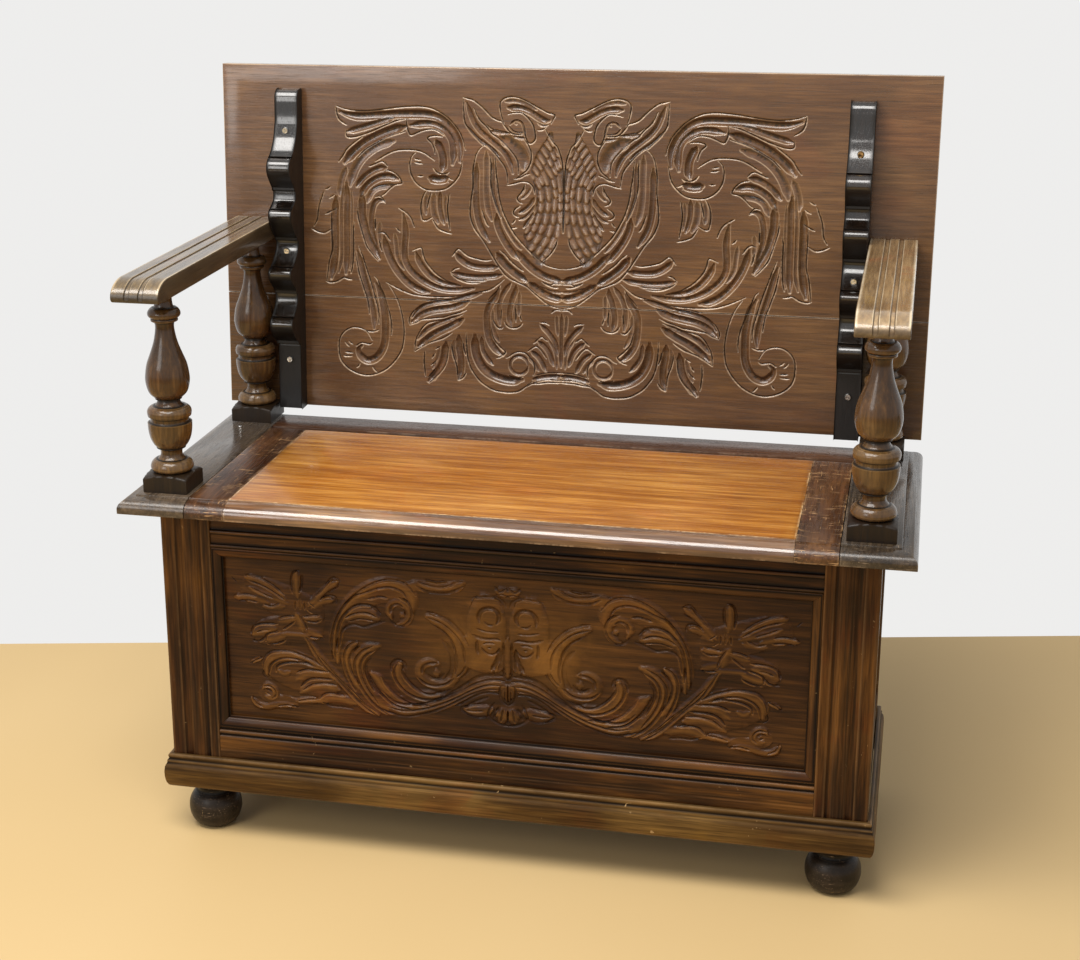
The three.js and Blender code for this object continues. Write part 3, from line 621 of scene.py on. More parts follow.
def add_panel_frame():
    """The ovolo round the carved panel."""
    steps = [(0, 0), (0, 7.6), (0.5, 8.3), (1.3, 8.5), (2, 8.5), (2, 8.1), *curve((2, 2), (9.9, 5.9), 90, 0, 12),
             (12.2, 2), (13, 1.6), (13, 0)]
    outline = filled(steps, 1.5)
    half_x, low, high = CHEST_HALF - POST_WIDTH, BOTTOM_RAIL_TOP, TOP_RAIL_LOW
    face = -CHEST_REACH + PANEL_BACK + SHIFT_Y
    middle, half_z = (low + high) / 2, (high - low) / 2
    runs = {"bottom": (half_x, lambda u, v, s: (s, face - v, low + u), "x"),
            "top": (half_x, lambda u, v, s: (s, face - v, high - u), "x"),
            "left": (half_z, lambda u, v, s: (-half_x + u, face - v, middle + s), "z"),
            "right": (half_z, lambda u, v, s: (half_x - u, face - v, middle + s), "z")}
    for name, (half, place, grain) in runs.items():
        rings = [[place(u, v, t * (half - 0.2 - u)) for u, v in outline] for t in np.linspace(-1, 1, int(half / 8))]
        add(f"ovolo_{name}", loft(rings), "chest", f"dark {grain}", f"panel_moulding_{name}", curved=True)


# ---- Seat ----

def seat_slab():
    """The whole seat with its thumb moulding, before it is cut into boards."""
    section = [(0.6, 432), (0.1, 432.4), (0, 433.2), *curve((18, 438), (18, 12.5), 180, 92, 18), (18, 450.6),
               (18, 451.5), (18.6, SEAT_TOP)]
    corners = [(-1, -1), (1, -1), (1, 1), (-1, 1)]
    return loft([[(sx * (SEAT_HALF - inset), sy * (SEAT_REACH - inset) + SHIFT_Y, z) for sx, sy in corners]
                 for inset, z in section])


FAR = 900              # a place beyond the seat, where nothing is cut
HINGE_ROUND = 9.9      # radius of the lid's rear edge


def cut(shape, xs, ys, ease=0.7, rear_round=0):
    """What lies between two places along X and two along Y, its new arrises eased."""
    work = bmesh.new()
    verts = [work.verts.new(v) for v in shape[0]]
    for f in shape[1]:
        work.faces.new([verts[i] for i in f])
    for axis, (low, high) in ((0, xs), (1, ys)):
        for place, way in ((low, -1), (high, 1)):
            if abs(place) >= FAR:
                continue
            point, normal = Vector((0, 0, 0)), Vector((0, 0, 0))
            point[axis], normal[axis] = place, way
            bmesh.ops.bisect_plane(work, geom=work.verts[:] + work.edges[:] + work.faces[:], plane_co=point,
                                   plane_no=normal, clear_outer=True)
            bmesh.ops.holes_fill(work, edges=[e for e in work.edges if e.is_boundary], sides=0)
    bmesh.ops.remove_doubles(work, verts=work.verts[:], dist=0.02)
    bmesh.ops.recalc_face_normals(work, faces=work.faces[:])
    if rear_round:
        edges = [e for e in work.edges if all(abs(v.co.y - ys[1]) < 0.01 for v in e.verts)
                 and abs(e.verts[0].co.z - e.verts[1].co.z) < 0.01]
        bmesh.ops.bevel(work, geom=edges, offset=rear_round, segments=8, profile=0.5, affect="EDGES")
    sharp = [e for e in work.edges if len(e.link_faces) == 2 and e.calc_face_angle(0) > math.radians(60)
             and e.calc_length() > 2.5]
    bmesh.ops.bevel(work, geom=sharp, offset=ease, segments=2, profile=0.5, affect="EDGES", clamp_overlap=True)
    return taken(work)


def add_seat():
    slab, gap = seat_slab(), 0.3
    panel_half, rear, front = LID_HALF - LID_CLEAT, LID_REAR + SHIFT_Y, -177 + SHIFT_Y

    def add_board(name, xs, ys, body, finish, node, **more):
        add(name, cut(slab, xs, ys, **more), body, finish, node, sharp=45, boxed=True)

    for side, way in (("left", -1), ("right", 1)):
        add_board(f"seat_board_{side}", sorted((way * (LID_HALF + 1), way * FAR)), (-FAR, FAR), "chest", "grey y",
                  f"seat_side_{side}")
        add_board(f"seat_cleat_{side}", sorted((way * panel_half, way * LID_HALF)), (-FAR, rear), "lid", "cleat y",
                  f"lid_cleat_{side}", rear_round=HINGE_ROUND)
    half = LID_HALF + 1 - gap
    add_board("seat_rear_rail", (-half, half), (rear + 1, FAR), "chest", "rail x", "seat_back_rail")
    half = panel_half - gap
    add_board("seat_panel", (-half, half), (front + gap, rear), "lid", "golden x", "lid_panel", ease=0.5,
              rear_round=HINGE_ROUND)
    add_board("seat_nosing", (-half, half), (-FAR, front), "lid", "nosing x", "lid_nosing", ease=0.5)


# ---- Turned posts and arms ----

# The turned part of the arm posts from the foot up: shares of its radius and of the post's height.
TURNING = [
    [(0.8, 0.09), (0.9, 0.0955), (0.965, 0.106), (0.965, 0.118), (0.92, 0.132), (0.84, 0.143), (0.76, 0.149)],
    [(0.66, 0.15), (0.6, 0.155), (0.51, 0.168), (0.485, 0.182), (0.505, 0.195), (0.56, 0.207)],
    [(0.66, 0.2075), (0.66, 0.212), (0.8, 0.232), (0.92, 0.262), (0.985, 0.3), (1, 0.337)],
    [(0.9, 0.34), (0.87, 0.348), (0.87, 0.36), (0.9, 0.368)],
    [(0.975, 0.37), (1, 0.385), (0.985, 0.4), (0.9, 0.413), (0.8, 0.419)],
    [(0.66, 0.421), (0.58, 0.43), (0.5, 0.447), (0.5, 0.455)],
    [(0.6, 0.4555), (0.62, 0.462), (0.86, 0.49), (0.98, 0.535), (0.985, 0.575), (0.9, 0.63), (0.73, 0.68),
     (0.55, 0.735), (0.45, 0.785), (0.42, 0.82), (0.46, 0.842)],
    [(0.52, 0.843), (0.6, 0.845), (0.61, 0.853), (0.6, 0.859)],
    [(0.56, 0.86), (0.66, 0.864), (0.73, 0.874), (0.73, 0.888), (0.66, 0.902), (0.58, 0.91)],
    [(0.46, 0.9105), (0.42, 0.92), (0.39, 0.94), (0.39, 0.96), (0.42, 0.985), (0.5, 1)],
]


SQUARE_FOOT = [(0.985, 0), (1, 0.004), (1, 0.02), (1, 0.045), (1, 0.066), (0.97, 0.0705), (0.9, 0.0755), (0.8, 0.081),
               (0.7, 0.085), (0.6, 0.0875)]


def add_balusters():
    corner = POST_SQUARE * math.sqrt(2) + 0.3
    outline = [(r * corner, h * POST_HEIGHT) for r, h in SQUARE_FOOT]
    for run in TURNING:
        outline += [(r * POST_ROUND, h * POST_HEIGHT) for r, h in smooth(run)]
    shape = on_lathe(outline, POST_SQUARE, 96)
    for end in ("front", "rear"):
        for side in ("left", "right"):
            node = f"baluster_{end}_{side}"
            add(f"turned_post_{end}_{side}", put_at_node(shape, node, SEAT_TOP + 0.3), "chest", "turned z", node,
                sharp=55, curved=True, darkening=lambda at, normal: 0.85 * (at[:, 2] < SEAT_TOP + 22))


FLUTES = ((21.7, 3.4), (38.4, 3.3))     # the middle of each, from the arm's inner edge, and half its width
FLUTE_DEPTH, FLUTE_SIDE, ARM_EASE = 1.3, 0.9, 1.5


def eased(u, width, ease, over):
    """How far an outline draws in at u across a thing of that width, so that its arrises are round."""
    near = min(u, width - u)
    return ease * (1 - math.sqrt(max(0.0, 1 - (1 - min(near / over, 1)) ** 2)))


def add_arms():
    outline = curve((ARM_FRONT + 34, ARM_NOSE), (34, 19), 90, 180, 22)
    outline += curve((ARM_FRONT + 6, ARM_NOSE), (6, 5.5), 180, 270, 8)[1:]
    outline = filled(outline + [(PIN_Y, ARM_LOW)], 6).tolist()
    outline += curve((PIN_Y, PIN_Z), (11, 11), -45, 90, 14)
    outline = np.array(filled(outline + [outline[0]], 6))[:-1]
    along = np.roll(outline, -1, 0) - np.roll(outline, 1, 0)
    along /= np.linalg.norm(along, axis=1)[:, None]
    outward = np.stack([-along[:, 1], along[:, 0]], 1)
    outward *= np.where(((outline - (0, 706)) * outward)[:, 1].sum() < 0, -1, 1)
    fluted = np.clip((outline[:, 1] - 695.5) / 3, 0, 1) * (outline[:, 0] < PIN_Y + 6)
    across = sorted({*np.linspace(0, ARM_EASE, 5), *np.linspace(ARM_WIDTH - ARM_EASE, ARM_WIDTH, 5),
                     *np.linspace(ARM_EASE, ARM_WIDTH - ARM_EASE, 26),
                     *(m + h * t for m, h in FLUTES for t in (-1.25, -1, -0.73, -0.4, 0, 0.4, 0.73, 1, 1.25))})

    def nose_shade_and_darker_inside(at, normal):
        """Painted shade where the nose's front turns downwards, and the inner side made darker."""
        nose = np.clip((0.75 - normal[:, 2]) / 0.5, 0, 0.85) * (at[:, 1] < ARM_FRONT + 36)
        return np.maximum(nose, 0.75 * (np.sign(at[:, 0]) * normal[:, 0] < -0.5))

    for side, way in (("left", -1), ("right", 1)):
        rings = []
        for u in across:
            deep = max(0.0, *(FLUTE_DEPTH * min(1, (half - abs(u - middle)) / FLUTE_SIDE) for middle, half in FLUTES))
            line = outline - outward * (deep * fluted + eased(u, ARM_WIDTH, ARM_EASE, ARM_EASE))[:, None]
            x = way * (ARM_X - ARM_WIDTH / 2 + u)
            rings.append([(x, y, z) for y, z in line])
        add(f"reeded_arm_{side}", loft(rings), "chest", f"arm {side}", f"arm_{side}", sharp=40, curved=1.6, bright=3,
            darkening=nose_shade_and_darker_inside)


# ---- Back ----

# Scallops: each is a round nose with a quirk over it and a fillet under it, as [ahead, down] shares.
BEARER = [
    [(0, 0), (0.14, 0), (0.25, 0.006), (0.31, 0.018), (0.325, 0.03)],
    [(0.325, 0.03), (0.33, 0.09), (0.38, 0.117), (0.47, 0.15), (0.64, 0.182), (0.77, 0.197)],
    [(0.77, 0.197), (0.73, 0.2)],
    [(0.73, 0.2), (0.84, 0.204), (0.94, 0.214), (0.985, 0.23), (0.965, 0.245), (0.88, 0.26), (0.75, 0.278),
     (0.62, 0.295)],
    [(0.62, 0.295), (0.62, 0.302)],
    [(0.62, 0.302), (0.55, 0.304), (0.54, 0.32), (0.57, 0.336), (0.7, 0.35), (0.8, 0.357)],
    [(0.8, 0.357), (0.78, 0.36)],
    [(0.78, 0.36), (0.88, 0.364), (0.93, 0.376), (0.9, 0.392), (0.8, 0.41), (0.64, 0.434), (0.48, 0.452)],
    [(0.48, 0.452), (0.48, 0.459)],
    [(0.48, 0.459), (0.4, 0.461), (0.385, 0.475), (0.42, 0.488), (0.5, 0.503), (0.66, 0.524), (0.8, 0.536)],
    [(0.8, 0.536), (0.77, 0.539)],
    [(0.77, 0.539), (0.88, 0.542), (0.98, 0.55), (1, 0.56), (0.95, 0.575), (0.81, 0.59), (0.66, 0.605),
     (0.59, 0.616)],
    [(0.59, 0.616), (0.59, 0.623)],
    [(0.59, 0.623), (0.53, 0.625), (0.52, 0.645), (0.56, 0.662), (0.66, 0.677), (0.8, 0.694)],
    [(0.8, 0.694), (0.77, 0.697)],
    [(0.77, 0.697), (0.87, 0.7), (0.94, 0.71), (0.955, 0.722), (0.9, 0.738), (0.78, 0.755), (0.62, 0.77),
     (0.5, 0.779)],
    [(0.5, 0.779), (0.5, 0.787)],
    [(0.5, 0.787), (0.38, 0.789), (0.37, 0.8)],
    [(0.37, 0.8), (0.37, 1)],
]


def bearer_front():
    """The scalloped edge as [ahead, down] shares."""
    return np.vstack([smooth(run) for run in BEARER])


def add_bearers():
    front = bearer_front()
    front = np.stack([BEARER_BACK - front[:, 0] * BEARER_DEPTH, BEARER_RISE - front[:, 1] * BEARER_LENGTH], 1)
    front = filled([front[0], *[p for a, p in zip(front, front[1:]) if np.hypot(*(p - a)) > 0.05]], 3)
    outline = np.vstack([front, [(BEARER_BACK, front[-1][1])]])
    ahead = np.roll(outline, -1, 0) - np.roll(outline, 1, 0)
    ahead /= np.linalg.norm(ahead, axis=1)[:, None]
    inward = np.stack([-ahead[:, 1], ahead[:, 0]], 1)
    if (inward[5] * (np.array([BEARER_BACK, outline[5][1]]) - outline[5])).sum() < 0:
        inward = -inward

    def painted_shade_below(at, normal):
        """Painted shade on the undersides of the scallops and over the whole lower end."""
        low = (at[:, 1] - PIN_Y) * math.sin(LEAN) - (at[:, 2] - PIN_Z) * math.cos(LEAN)
        return np.maximum(np.clip((-0.05 - normal[:, 2]) / 0.3, 0, 0.9), 0.85 * (low > 156))

    for side, way in (("left", -1), ("right", 1)):
        rings = []
        for u in (0, 0.2, 0.6, 1.1, 1.7, 3, 8, 13, 18, 23, 27.6, 28.9, 29.5, 30, 30.4, BEARER_THICK):
            line = outline + inward * eased(u, BEARER_THICK, 1.6, 1.7) * (outline[:, :1] < BEARER_BACK - 0.5)
            rings.append([(way * (BEARER_X + u), y, z) for y, z in line])
        radii = (GROOVE_RADIUS, GROOVE_RADIUS)
        groove = [*curve((0, 0), radii, 0, 180, 14), *curve((0, -GROOVE_RUN), radii, 180, 360, 14)]
        outer = BEARER_X + BEARER_THICK
        slot = swept(groove, sorted((way * (outer - GROOVE_DEPTH), way * 390)), lambda u, v, s: (s, u, v))
        add(f"scalloped_bearer_{side}", leaned(carved_out(loft(rings), slot)), "top", "bearer z", f"bearer_{side}",
            sharp=45, curved=True, darkening=painted_shade_below)


def carved_out(shape, cutter):
    """A shape less another."""
    blank, taken_away = (linked("blank", mesh_of("blank", each)) for each in (shape, cutter))
    tool = blank.modifiers.new("cut", "BOOLEAN")
    tool.operation, tool.object, tool.solver = "DIFFERENCE", taken_away, "EXACT"
    result = baked(blank)
    for each in (blank, taken_away):
        bpy.data.objects.remove(each)
    return np.array([v.co for v in result.vertices]), [list(f.vertices) for f in result.polygons]


# Carving of the back, left half: V lines as x from the middle and distance down from the top edge. Each line is one
# run of the tool, and a long one goes on after a backslash.
BACK_LINES = {
    "scroll leaf": """
        -304,51 -290,55 -270,57 -250,55.5 -226,52 -207,50 -190,49.5 -175,52 -160,59.5 -150,68 -140,80 -135,91 -132,103
        -304,52 -302.5,62 -299,69 -290,75
        -290,81 -290,90 -280,90.5 -270,87.5 -257,83 -245,77.5 -225,69 -209,65.5
        -301,122.5 -295,114 -290,106 -282,99 -269,89.5
        -275,116 -265,106 -250,97 -235,89 -220,84 -212,82
        -209.5,65 -209,77 -206,84 -204,86.5 -195,82.5 -185,79 -175,78 -167,80.5 -160,85.5
        -162.5,87 -172,86 -182.5,89 -176,96 -173,103 -172,109
        -198,108 -203,113 -205.5,122 -204.5,134 -198,146 -187,154 -175,156 -160,154 -150,147.5 -142,138.5 -138,128 \
            -136,117
        -252,121 -235,110.5 -220,105.5 -200,105 -187,108 -176,115 -173,117.5
        -174,127.5 -170,132 -165,134.5 -157.5,134 -154,132
        -199,116 -191,117.5
        -199,120.5 -189,122
        -195,138 -188,138
        -154,139 -148.5,142""",
    "hanging leaves": """
        -260,127.5 -252,124 -245,121 -239,122 -235,127
        -237.5,132 -230,133 -222,138 -216,147.5 -225,150 -232.5,155 -240,162.5 -245,166
        -258,158 -248,152.5 -236,150.5
        -322,162.5 -326,172.5 -329.5,183 -331,197 -336,207.5
        -339,211 -330,215 -322,216 -313,211
        -319.5,159 -313,155.5
        -314.5,170 -307.5,165.5
        -320,191 -306,184
        -312,190 -312,213 -311.5,237 -315,250 -317,260 -319.5,280
        -320,280 -315,281.5 -307,280 -301,277 -296,274 -291,275.5 -285,276.5
        -281,200 -282.5,212 -282,230 -282.5,245 -284,259 -286,268
        -276,182 -275.5,195 -272,207 -265,230 -257,241 -249,250
        -252,167.5 -247.5,165.5 -242.5,168 -239,174
        -249,214 -242.5,212.5 -237,216 -232.5,223
        -252.5,194 -252.5,209
        -247.5,222 -246,230 -244,237""",
    "lower stem": """
        -279,245 -275,268 -271,280 -267.5,291 -263.5,303 -262,313 -261.5,321
        -275,231 -270,245 -265,260 -260,275 -255,292 -252,305 -249,316 -248.5,334
        -254,271 -250,275 -246,285 -241,300 -235.5,314 -232,327 -231,338 -231.5,348
        -265,344 -257,344.5 -249,342
        -234,282 -225,296 -218,315 -214.5,335 -214.5,350 -218,368 -230,386 -245,398 -265,404 -285,399.5 -300,387 \
            -304,370 -302,354 -292,343 -280,340 -266,344 -258,356
        -280,365 -275,361 -270,360.5 -262.5,362 -258,360
        -295,360.5 -290,366
        -290,359 -285,363
        -297,379.5 -286,379
        -295,374 -285,374.5
        -279,394 -275.5,389
        -257.5,392.5 -252,399""",
    "tassel": """
        -184,157.5 -187.5,162.5 -190,170 -191,180 -190,189 -188,195 -182.5,194 -176,190.5
        -177.5,159 -180.5,169 -182.5,179
        -175,194 -171,200 -167.5,205 -161,208 -155.5,209.5 -150,211
        -153,160 -155,172.5 -155.5,180 -154.5,190 -153,200 -152,206""",
    "sweeping leaves": """
        -220.5,180 -212.5,184.5 -206,190 -202,197 -200,204
        -224,206 -219,211
        -202,235 -196,232 -190,231 -188,240 -185,247.5 -179,256 -171,264 -162,270 -152,275 -140,277.5
        -238,278 -220,286.5 -200,293 -175,294.5 -150,293.5 -130,290 -110,285 -100,282.5 -90,276 -80,267.5
        -149,240 -145,234 -140,230.5 -130,238 -122,241 -106,244 -97,243
        -151,261 -145,256 -140,255.5
        -150,264 -140,270.5 -127,274 -112,273.5""",
    "ribbon": """
        -106,95.5 -111,99 -115.5,104 -119,112 -122,130 -122,150 -125,172 -125,188 -119,204 -108,218 -98,234 -88,250 \
            -76,264 -62,271 -50,276 -36,287.5 -22,298 -8,302.5 -3.5,303
        -93,110 -91,137 -90,140 -88,158 -83,178 -75,195 -65,211 -52,225 -38,238 -25,247 -10,251 -3.5,251.3
        -99,110 -98,125 -98.5,140 -97.5,152 -95,162 -92,171 -86,186
        -109.5,179 -107,187 -104,195 -101,200
        -86,230 -79,235 -72.5,242.5 -65,249 -55,256
        -30,269 -20,273 -15,271 -3.5,271
        -27,271 -17,275 -9,276""",
    "bird": """
        -135,37 -130,38 -122.5,40 -116,44 -111,48 -106,52.5 -98,60.5 -90,64.5 -85,66 -82,69
        -83,69 -78,75 -72,80.5 -65,82 -57,81.5
        -135,39 -134,57 -133,67.5 -129,74.5 -124,81 -116,89 -110,95 -105.5,96 -100,100 -93,107 -87,114 -81,122 \
            -78,128 -77,134 -76,144
        -121,50 -114,64 -104,73.5 -97,82 -91,85.5 -83,92 -73,102 -66,111 -63,119 -62.5,132
        -104,71 -97,76 -90,77.5 -80,79 -74,80.5
        -77,57 -70,55 -60,54.5 -54,58 -48,64 -44,70 -42,77 -41,84 -42,89 -46,92.5 -50,92 -53,87 -55,78 -57,70
        -82,67.5 -85,59 -87,49 -87,43 -85,39.5 -80,36.5 -72,35 -63,36 -55,39 -45,44 -35,49 -25,54 -16,56.5 -18,61 \
            -21,67
        -38,76 -32,75 -28,72
        -28,75 -24,82 -18,91 -12,97 -8,108 -5.5,118 -5,128 -4,150 -4,205
        -55,88 -50,95 -46.5,103 -46,112 -48,120 -52,127 -58,132 -64,137
        -68,138 -60,136 -54,132.5 -48,131
        -77,146 -72,145 -65,143 -57,141 -50,142 -45,145 -42,150 -41,156
        -54,145 -56,151 -60,157 -64,163 -61,167 -57,169
        -60,172 -66,176 -69,181 -66,185 -62,186.5
        -66,190 -70,195
        -72,201 -64,200
        -11,213 -13,222 -20,233 -30,243""",
    "palmette": """
        -17,309 -14,305.5 -9,304.5 -3.5,305
        -32,322 -27,322 -22,323 -20,325
        -40,350 -35,345 -29.5,341 -22,346
        -47.5,361 -41,355.5 -36,354 -31,357.5 -26,364 -23,369
        -37.5,392.5 -27,389.5 -17,388 -3.5,387.5
        -40,402.5 -30,399.5 -20,397.5 -3.5,397.5
        -50,409 -42.5,404 -32,403 -20,401 -3.5,400.5
        -76,371 -72.5,369 -67.5,365 -61,362.5 -55,362.5 -50,364 -45,369 -41,374 -38.5,380 -38,385 -40,392.5
        -72.5,394 -67.5,397.5 -60,397.5 -54,395
        -130,340 -129.5,357 -128,372.5 -126,380 -122.5,389 -117.5,396 -111,404 -102.5,410 -92.5,415 -80,417 -70,417 \
            -60,415 -52.5,410 -46,404.5 -41,401
        -97,332 -94,345 -87.5,354 -80,361 -77,364 -84,370 -89,372
        -135,352.5 -133,362.5 -130.5,370""",
    "husk and lower leaves": """
        -95,321 -91,327.5 -86,332.5 -81,331
        -79,322.5 -76,328 -70,331 -62.5,330.5 -57.5,327 -55,324
        -65,304 -64,312.5 -64,322.5
        -58,314 -57,321
        -83,307.5 -84,320
        -85,276 -90,284 -96,290 -101,296
        -206,333 -207.5,326 -204,319 -200,314 -195,310 -190,306 -182.5,303
        -182.5,300.5 -172.5,298 -160,296
        -206,333 -197.5,329.5 -190,325.5 -180,324 -170,322.5 -160,321 -150,317.5 -139,314 -130,310
        -199.5,368 -199,357.5 -197.5,351 -194,344 -189,336 -182.5,330 -175,327.5 -165,325.5 -155,323 -145,320 -135,316
        -199.5,368 -191,362 -182.5,357 -172.5,353 -162.5,349.5 -155,345 -149,341
        -155,362 -155.5,375 -159,386 -165,395 -172.5,402.5 -180,410
        -186,367 -187,380 -186,392 -185,401
        -176,376 -172.5,370
        -177.5,386 -170,379
        -181,402 -175,395 -172.5,391
        -171,364 -165,360
        -149.5,356 -149,362.5 -147,372.5 -144,381 -142,389 -142,397.5
        -141,404 -135,401 -130,394""",
}

# Gouged hollows of the back: half width, then the run of the gouge. A second number is the depth of a shallow one.
BACK_HOLLOWS = """
    6 -299,58.5 -288,62 -272,63.5 -250,62 -220,60 -200,59.5 -185,59.5 -170,62 -158,69 -148.5,79.5 -142,92 -139,105 \
        -139,118
    4.5 -289,83.5 -275,79.8 -262,76 -250,72 -238,68 -226,65
    6.5 -293,124 -281,110 -266,98 -250,89 -232,81.5 -216,76.5 -211,75.5
    5.2 -205,74 -190,71.5 -178,71 -167,74 -157,80.5 -150.5,89 -148,98 -147.5,110 -149,122
    5.5 -171,92 -166,100 -162,110 -161,122 -163,131
    6 -180,140 -168,142 -155,139.5
    6/1.3 -226,94 -246,100 -262,110 -274,123 -282,138 -286,153
    4.5/1.2 -291,130 -296,142 -299,154 -300,166
    4.5 -277,154 -268,143 -258,135.5 -248,130.5 -237,128.5
    5 -272,167 -265,154.5 -255,146 -244,141 -232,140 -221,143
    4/1 -263,174 -257,161 -248,154.5 -236,152 -227,150
    5.5 -305.5,168 -307,190 -307,215 -307.5,240 -310,260 -313,276
    5 -291,150 -290.5,175 -291,200 -291,225 -291.5,250 -293,269
    2.5 -295.5,150 -296,162 -298,187 -298.5,212 -298.5,243 -300,256 -303,268
    2.2/1 -284.5,160 -284.5,190 -285,215 -285,240 -287.5,264
    5.5 -270,162 -270,177 -269.5,192 -266,208 -260,224 -254,235 -247,247
    4 -240.5,172 -247,170.5 -253.5,176 -257,189 -257.5,203 -255,220 -250,235
    3/1 -246,200 -247,212 -246,224
    4 -277,238 -272,255 -268,272 -263,290 -258,308 -255,325 -255,341
    5.5 -252,280 -246,292 -242,308 -240,325 -240,345 -241,358 -245,370 -253,380 -264,384 -273,379 -277,370 -272,364
    3.4 -165,158 -165.5,170 -165,180 -163,190 -160,199
    4/1 -173,160 -174,172 -173,186 -168,198
    3/1 -183,162 -184.5,174 -184,187
    2.2/0.9 -157.5,162 -158.5,178 -156.5,196
    4.6 -214.5,187 -212.5,200 -211.5,215 -213,232 -212,247 -206,259 -197,268 -186,275.5 -172,281.5 -157,284.5 \
        -138,284 -120,281
    4.4 -197.5,237 -193,249 -186,259.5 -177,268 -166,274 -152,278 -138,279
    5.2 -241,218 -238,230 -234,242 -227,256 -219,267 -208,278 -194,286 -180,289
    3/1 -226,214 -224,230 -222,246 -214,260
    4.6 -145.5,236 -135,246 -123,252 -110,253.5 -98,253 -88,252
    4 -149.5,262 -138,264.5 -125,266 -110,266 -95,264.5 -83,262
    2/1 -146,267 -134,270.5 -120,271 -104,270
    2.4 -95.5,115 -95,140 -95,155 -92,168 -88,180 -85,188
    4.6 -117,120 -118,145 -117.5,168 -116,183 -112.5,197 -106.5,209 -100,219
    4/1.1 -104.5,104 -104,130 -104,155 -102,175 -97,192
    4.8 -90.5,184 -89,197 -85,208 -79,219 -71,230 -61,241
    2.6/1 -84,186 -77,202 -68,216 -58,228
    5.6 -90,234 -81,246 -70,256 -60,263 -50,269
    5.6 -63,231 -54,242 -45,250.5 -35,257.5 -22,263.5 -8,266.5 -3.5,267
    5.6 -47,271 -32,281.5 -18,288 -5,290.5 -3.5,290.5
    2.4/0.9 -34,275 -20,280 -8,281.5 -3.5,281.5
    3.9 -130.5,43 -125.5,56 -120.5,68 -112,79 -103,86.5 -95.5,92.5 -88,98.5 -81,105 -75.5,113 -71.8,122 -70,131
    2.6 -129,74 -121,83 -113,90 -104,96 -95,102.5 -88,110
    2.4 -99,78 -91,79.8 -82,80.6 -74,81
    9/2 -86,86 -73,92 -63,101 -57,112 -56,124
    2.2 -70,84.5 -62,86 -54,86.5
    4.8 -77,48.5 -68,48.5 -60,49 -52,51.5 -45,55 -37,60 -30,63.5 -23,63.5
    3/0.8 -80,41 -70,39.5 -60,41 -50,45 -40,50.5
    2/0.8 -38,67 -31,70 -25,69
    3.3 -41.5,161 -46,169.5 -53,176.5 -61,181
    2.2 -41,171 -46,179.5 -53,186.5 -61,190
    2.8 -42.5,180 -46,187 -50.5,193 -55,200
    2/0.9 -46,149 -51,157 -58,163
    1.5/0.9 -54,150 -59,158
    3.6 -31,325 -22,333.5 -15,342 -10,352 -8.5,364
    3.6 -34,347 -25,354 -18,364 -13.5,378
    3.6 -43,360.5 -34,367.5 -28,376 -23.5,386
    3/1 -46,370 -39,376 -33,386
    3 -3.5,310 -3.5,330 -3.5,352 -3.5,380
    2.4/1 -10,312 -9.5,324 -8,338
    2.2/1 -20,345 -14,354 -10,366 -9,382
    4.2 -40,398 -27,394.5 -15,393 -3.5,392.5
    6.5 -118.5,342 -117.5,360 -114.5,373 -107,386 -95,395 -80,400 -66,401 -54,399
    3.4 -109.5,345 -108,360 -102.5,371 -94,381
    5 -86,281 -92,292 -98,301 -102,313 -102,326 -100.5,341 -96,353 -88,363 -81,368
    3/1 -95,308 -95,324 -92,338 -86,350
    3.4 -71,272 -79.5,284 -85,296 -86.5,310 -85,328
    4 -64,275 -65,283 -68.5,292 -71.5,305 -72.5,316 -70,329
    2.6/1 -59.5,284 -60,300 -60,314
    4 -203,323 -194,312.5 -182,305.5 -168,301.5 -150,298.5 -128,292 -110,287
    5.2 -203.5,329.5 -190,318.5 -176,313 -160,310 -143,306 -126,298
    3.6 -195.5,352 -186,341 -174,333 -158,326 -140,318.5
    5.4 -195,362 -182,351 -168,341.5 -152,333 -134,322
    5.4 -157,354 -159.5,370 -163.5,384 -171,396 -181,408
    3/1 -166,362 -169,376 -175,390
    5 -140,344 -139.5,360 -137,375 -137,390 -140,403
    3/1 -146,350 -147,364 -144,378"""

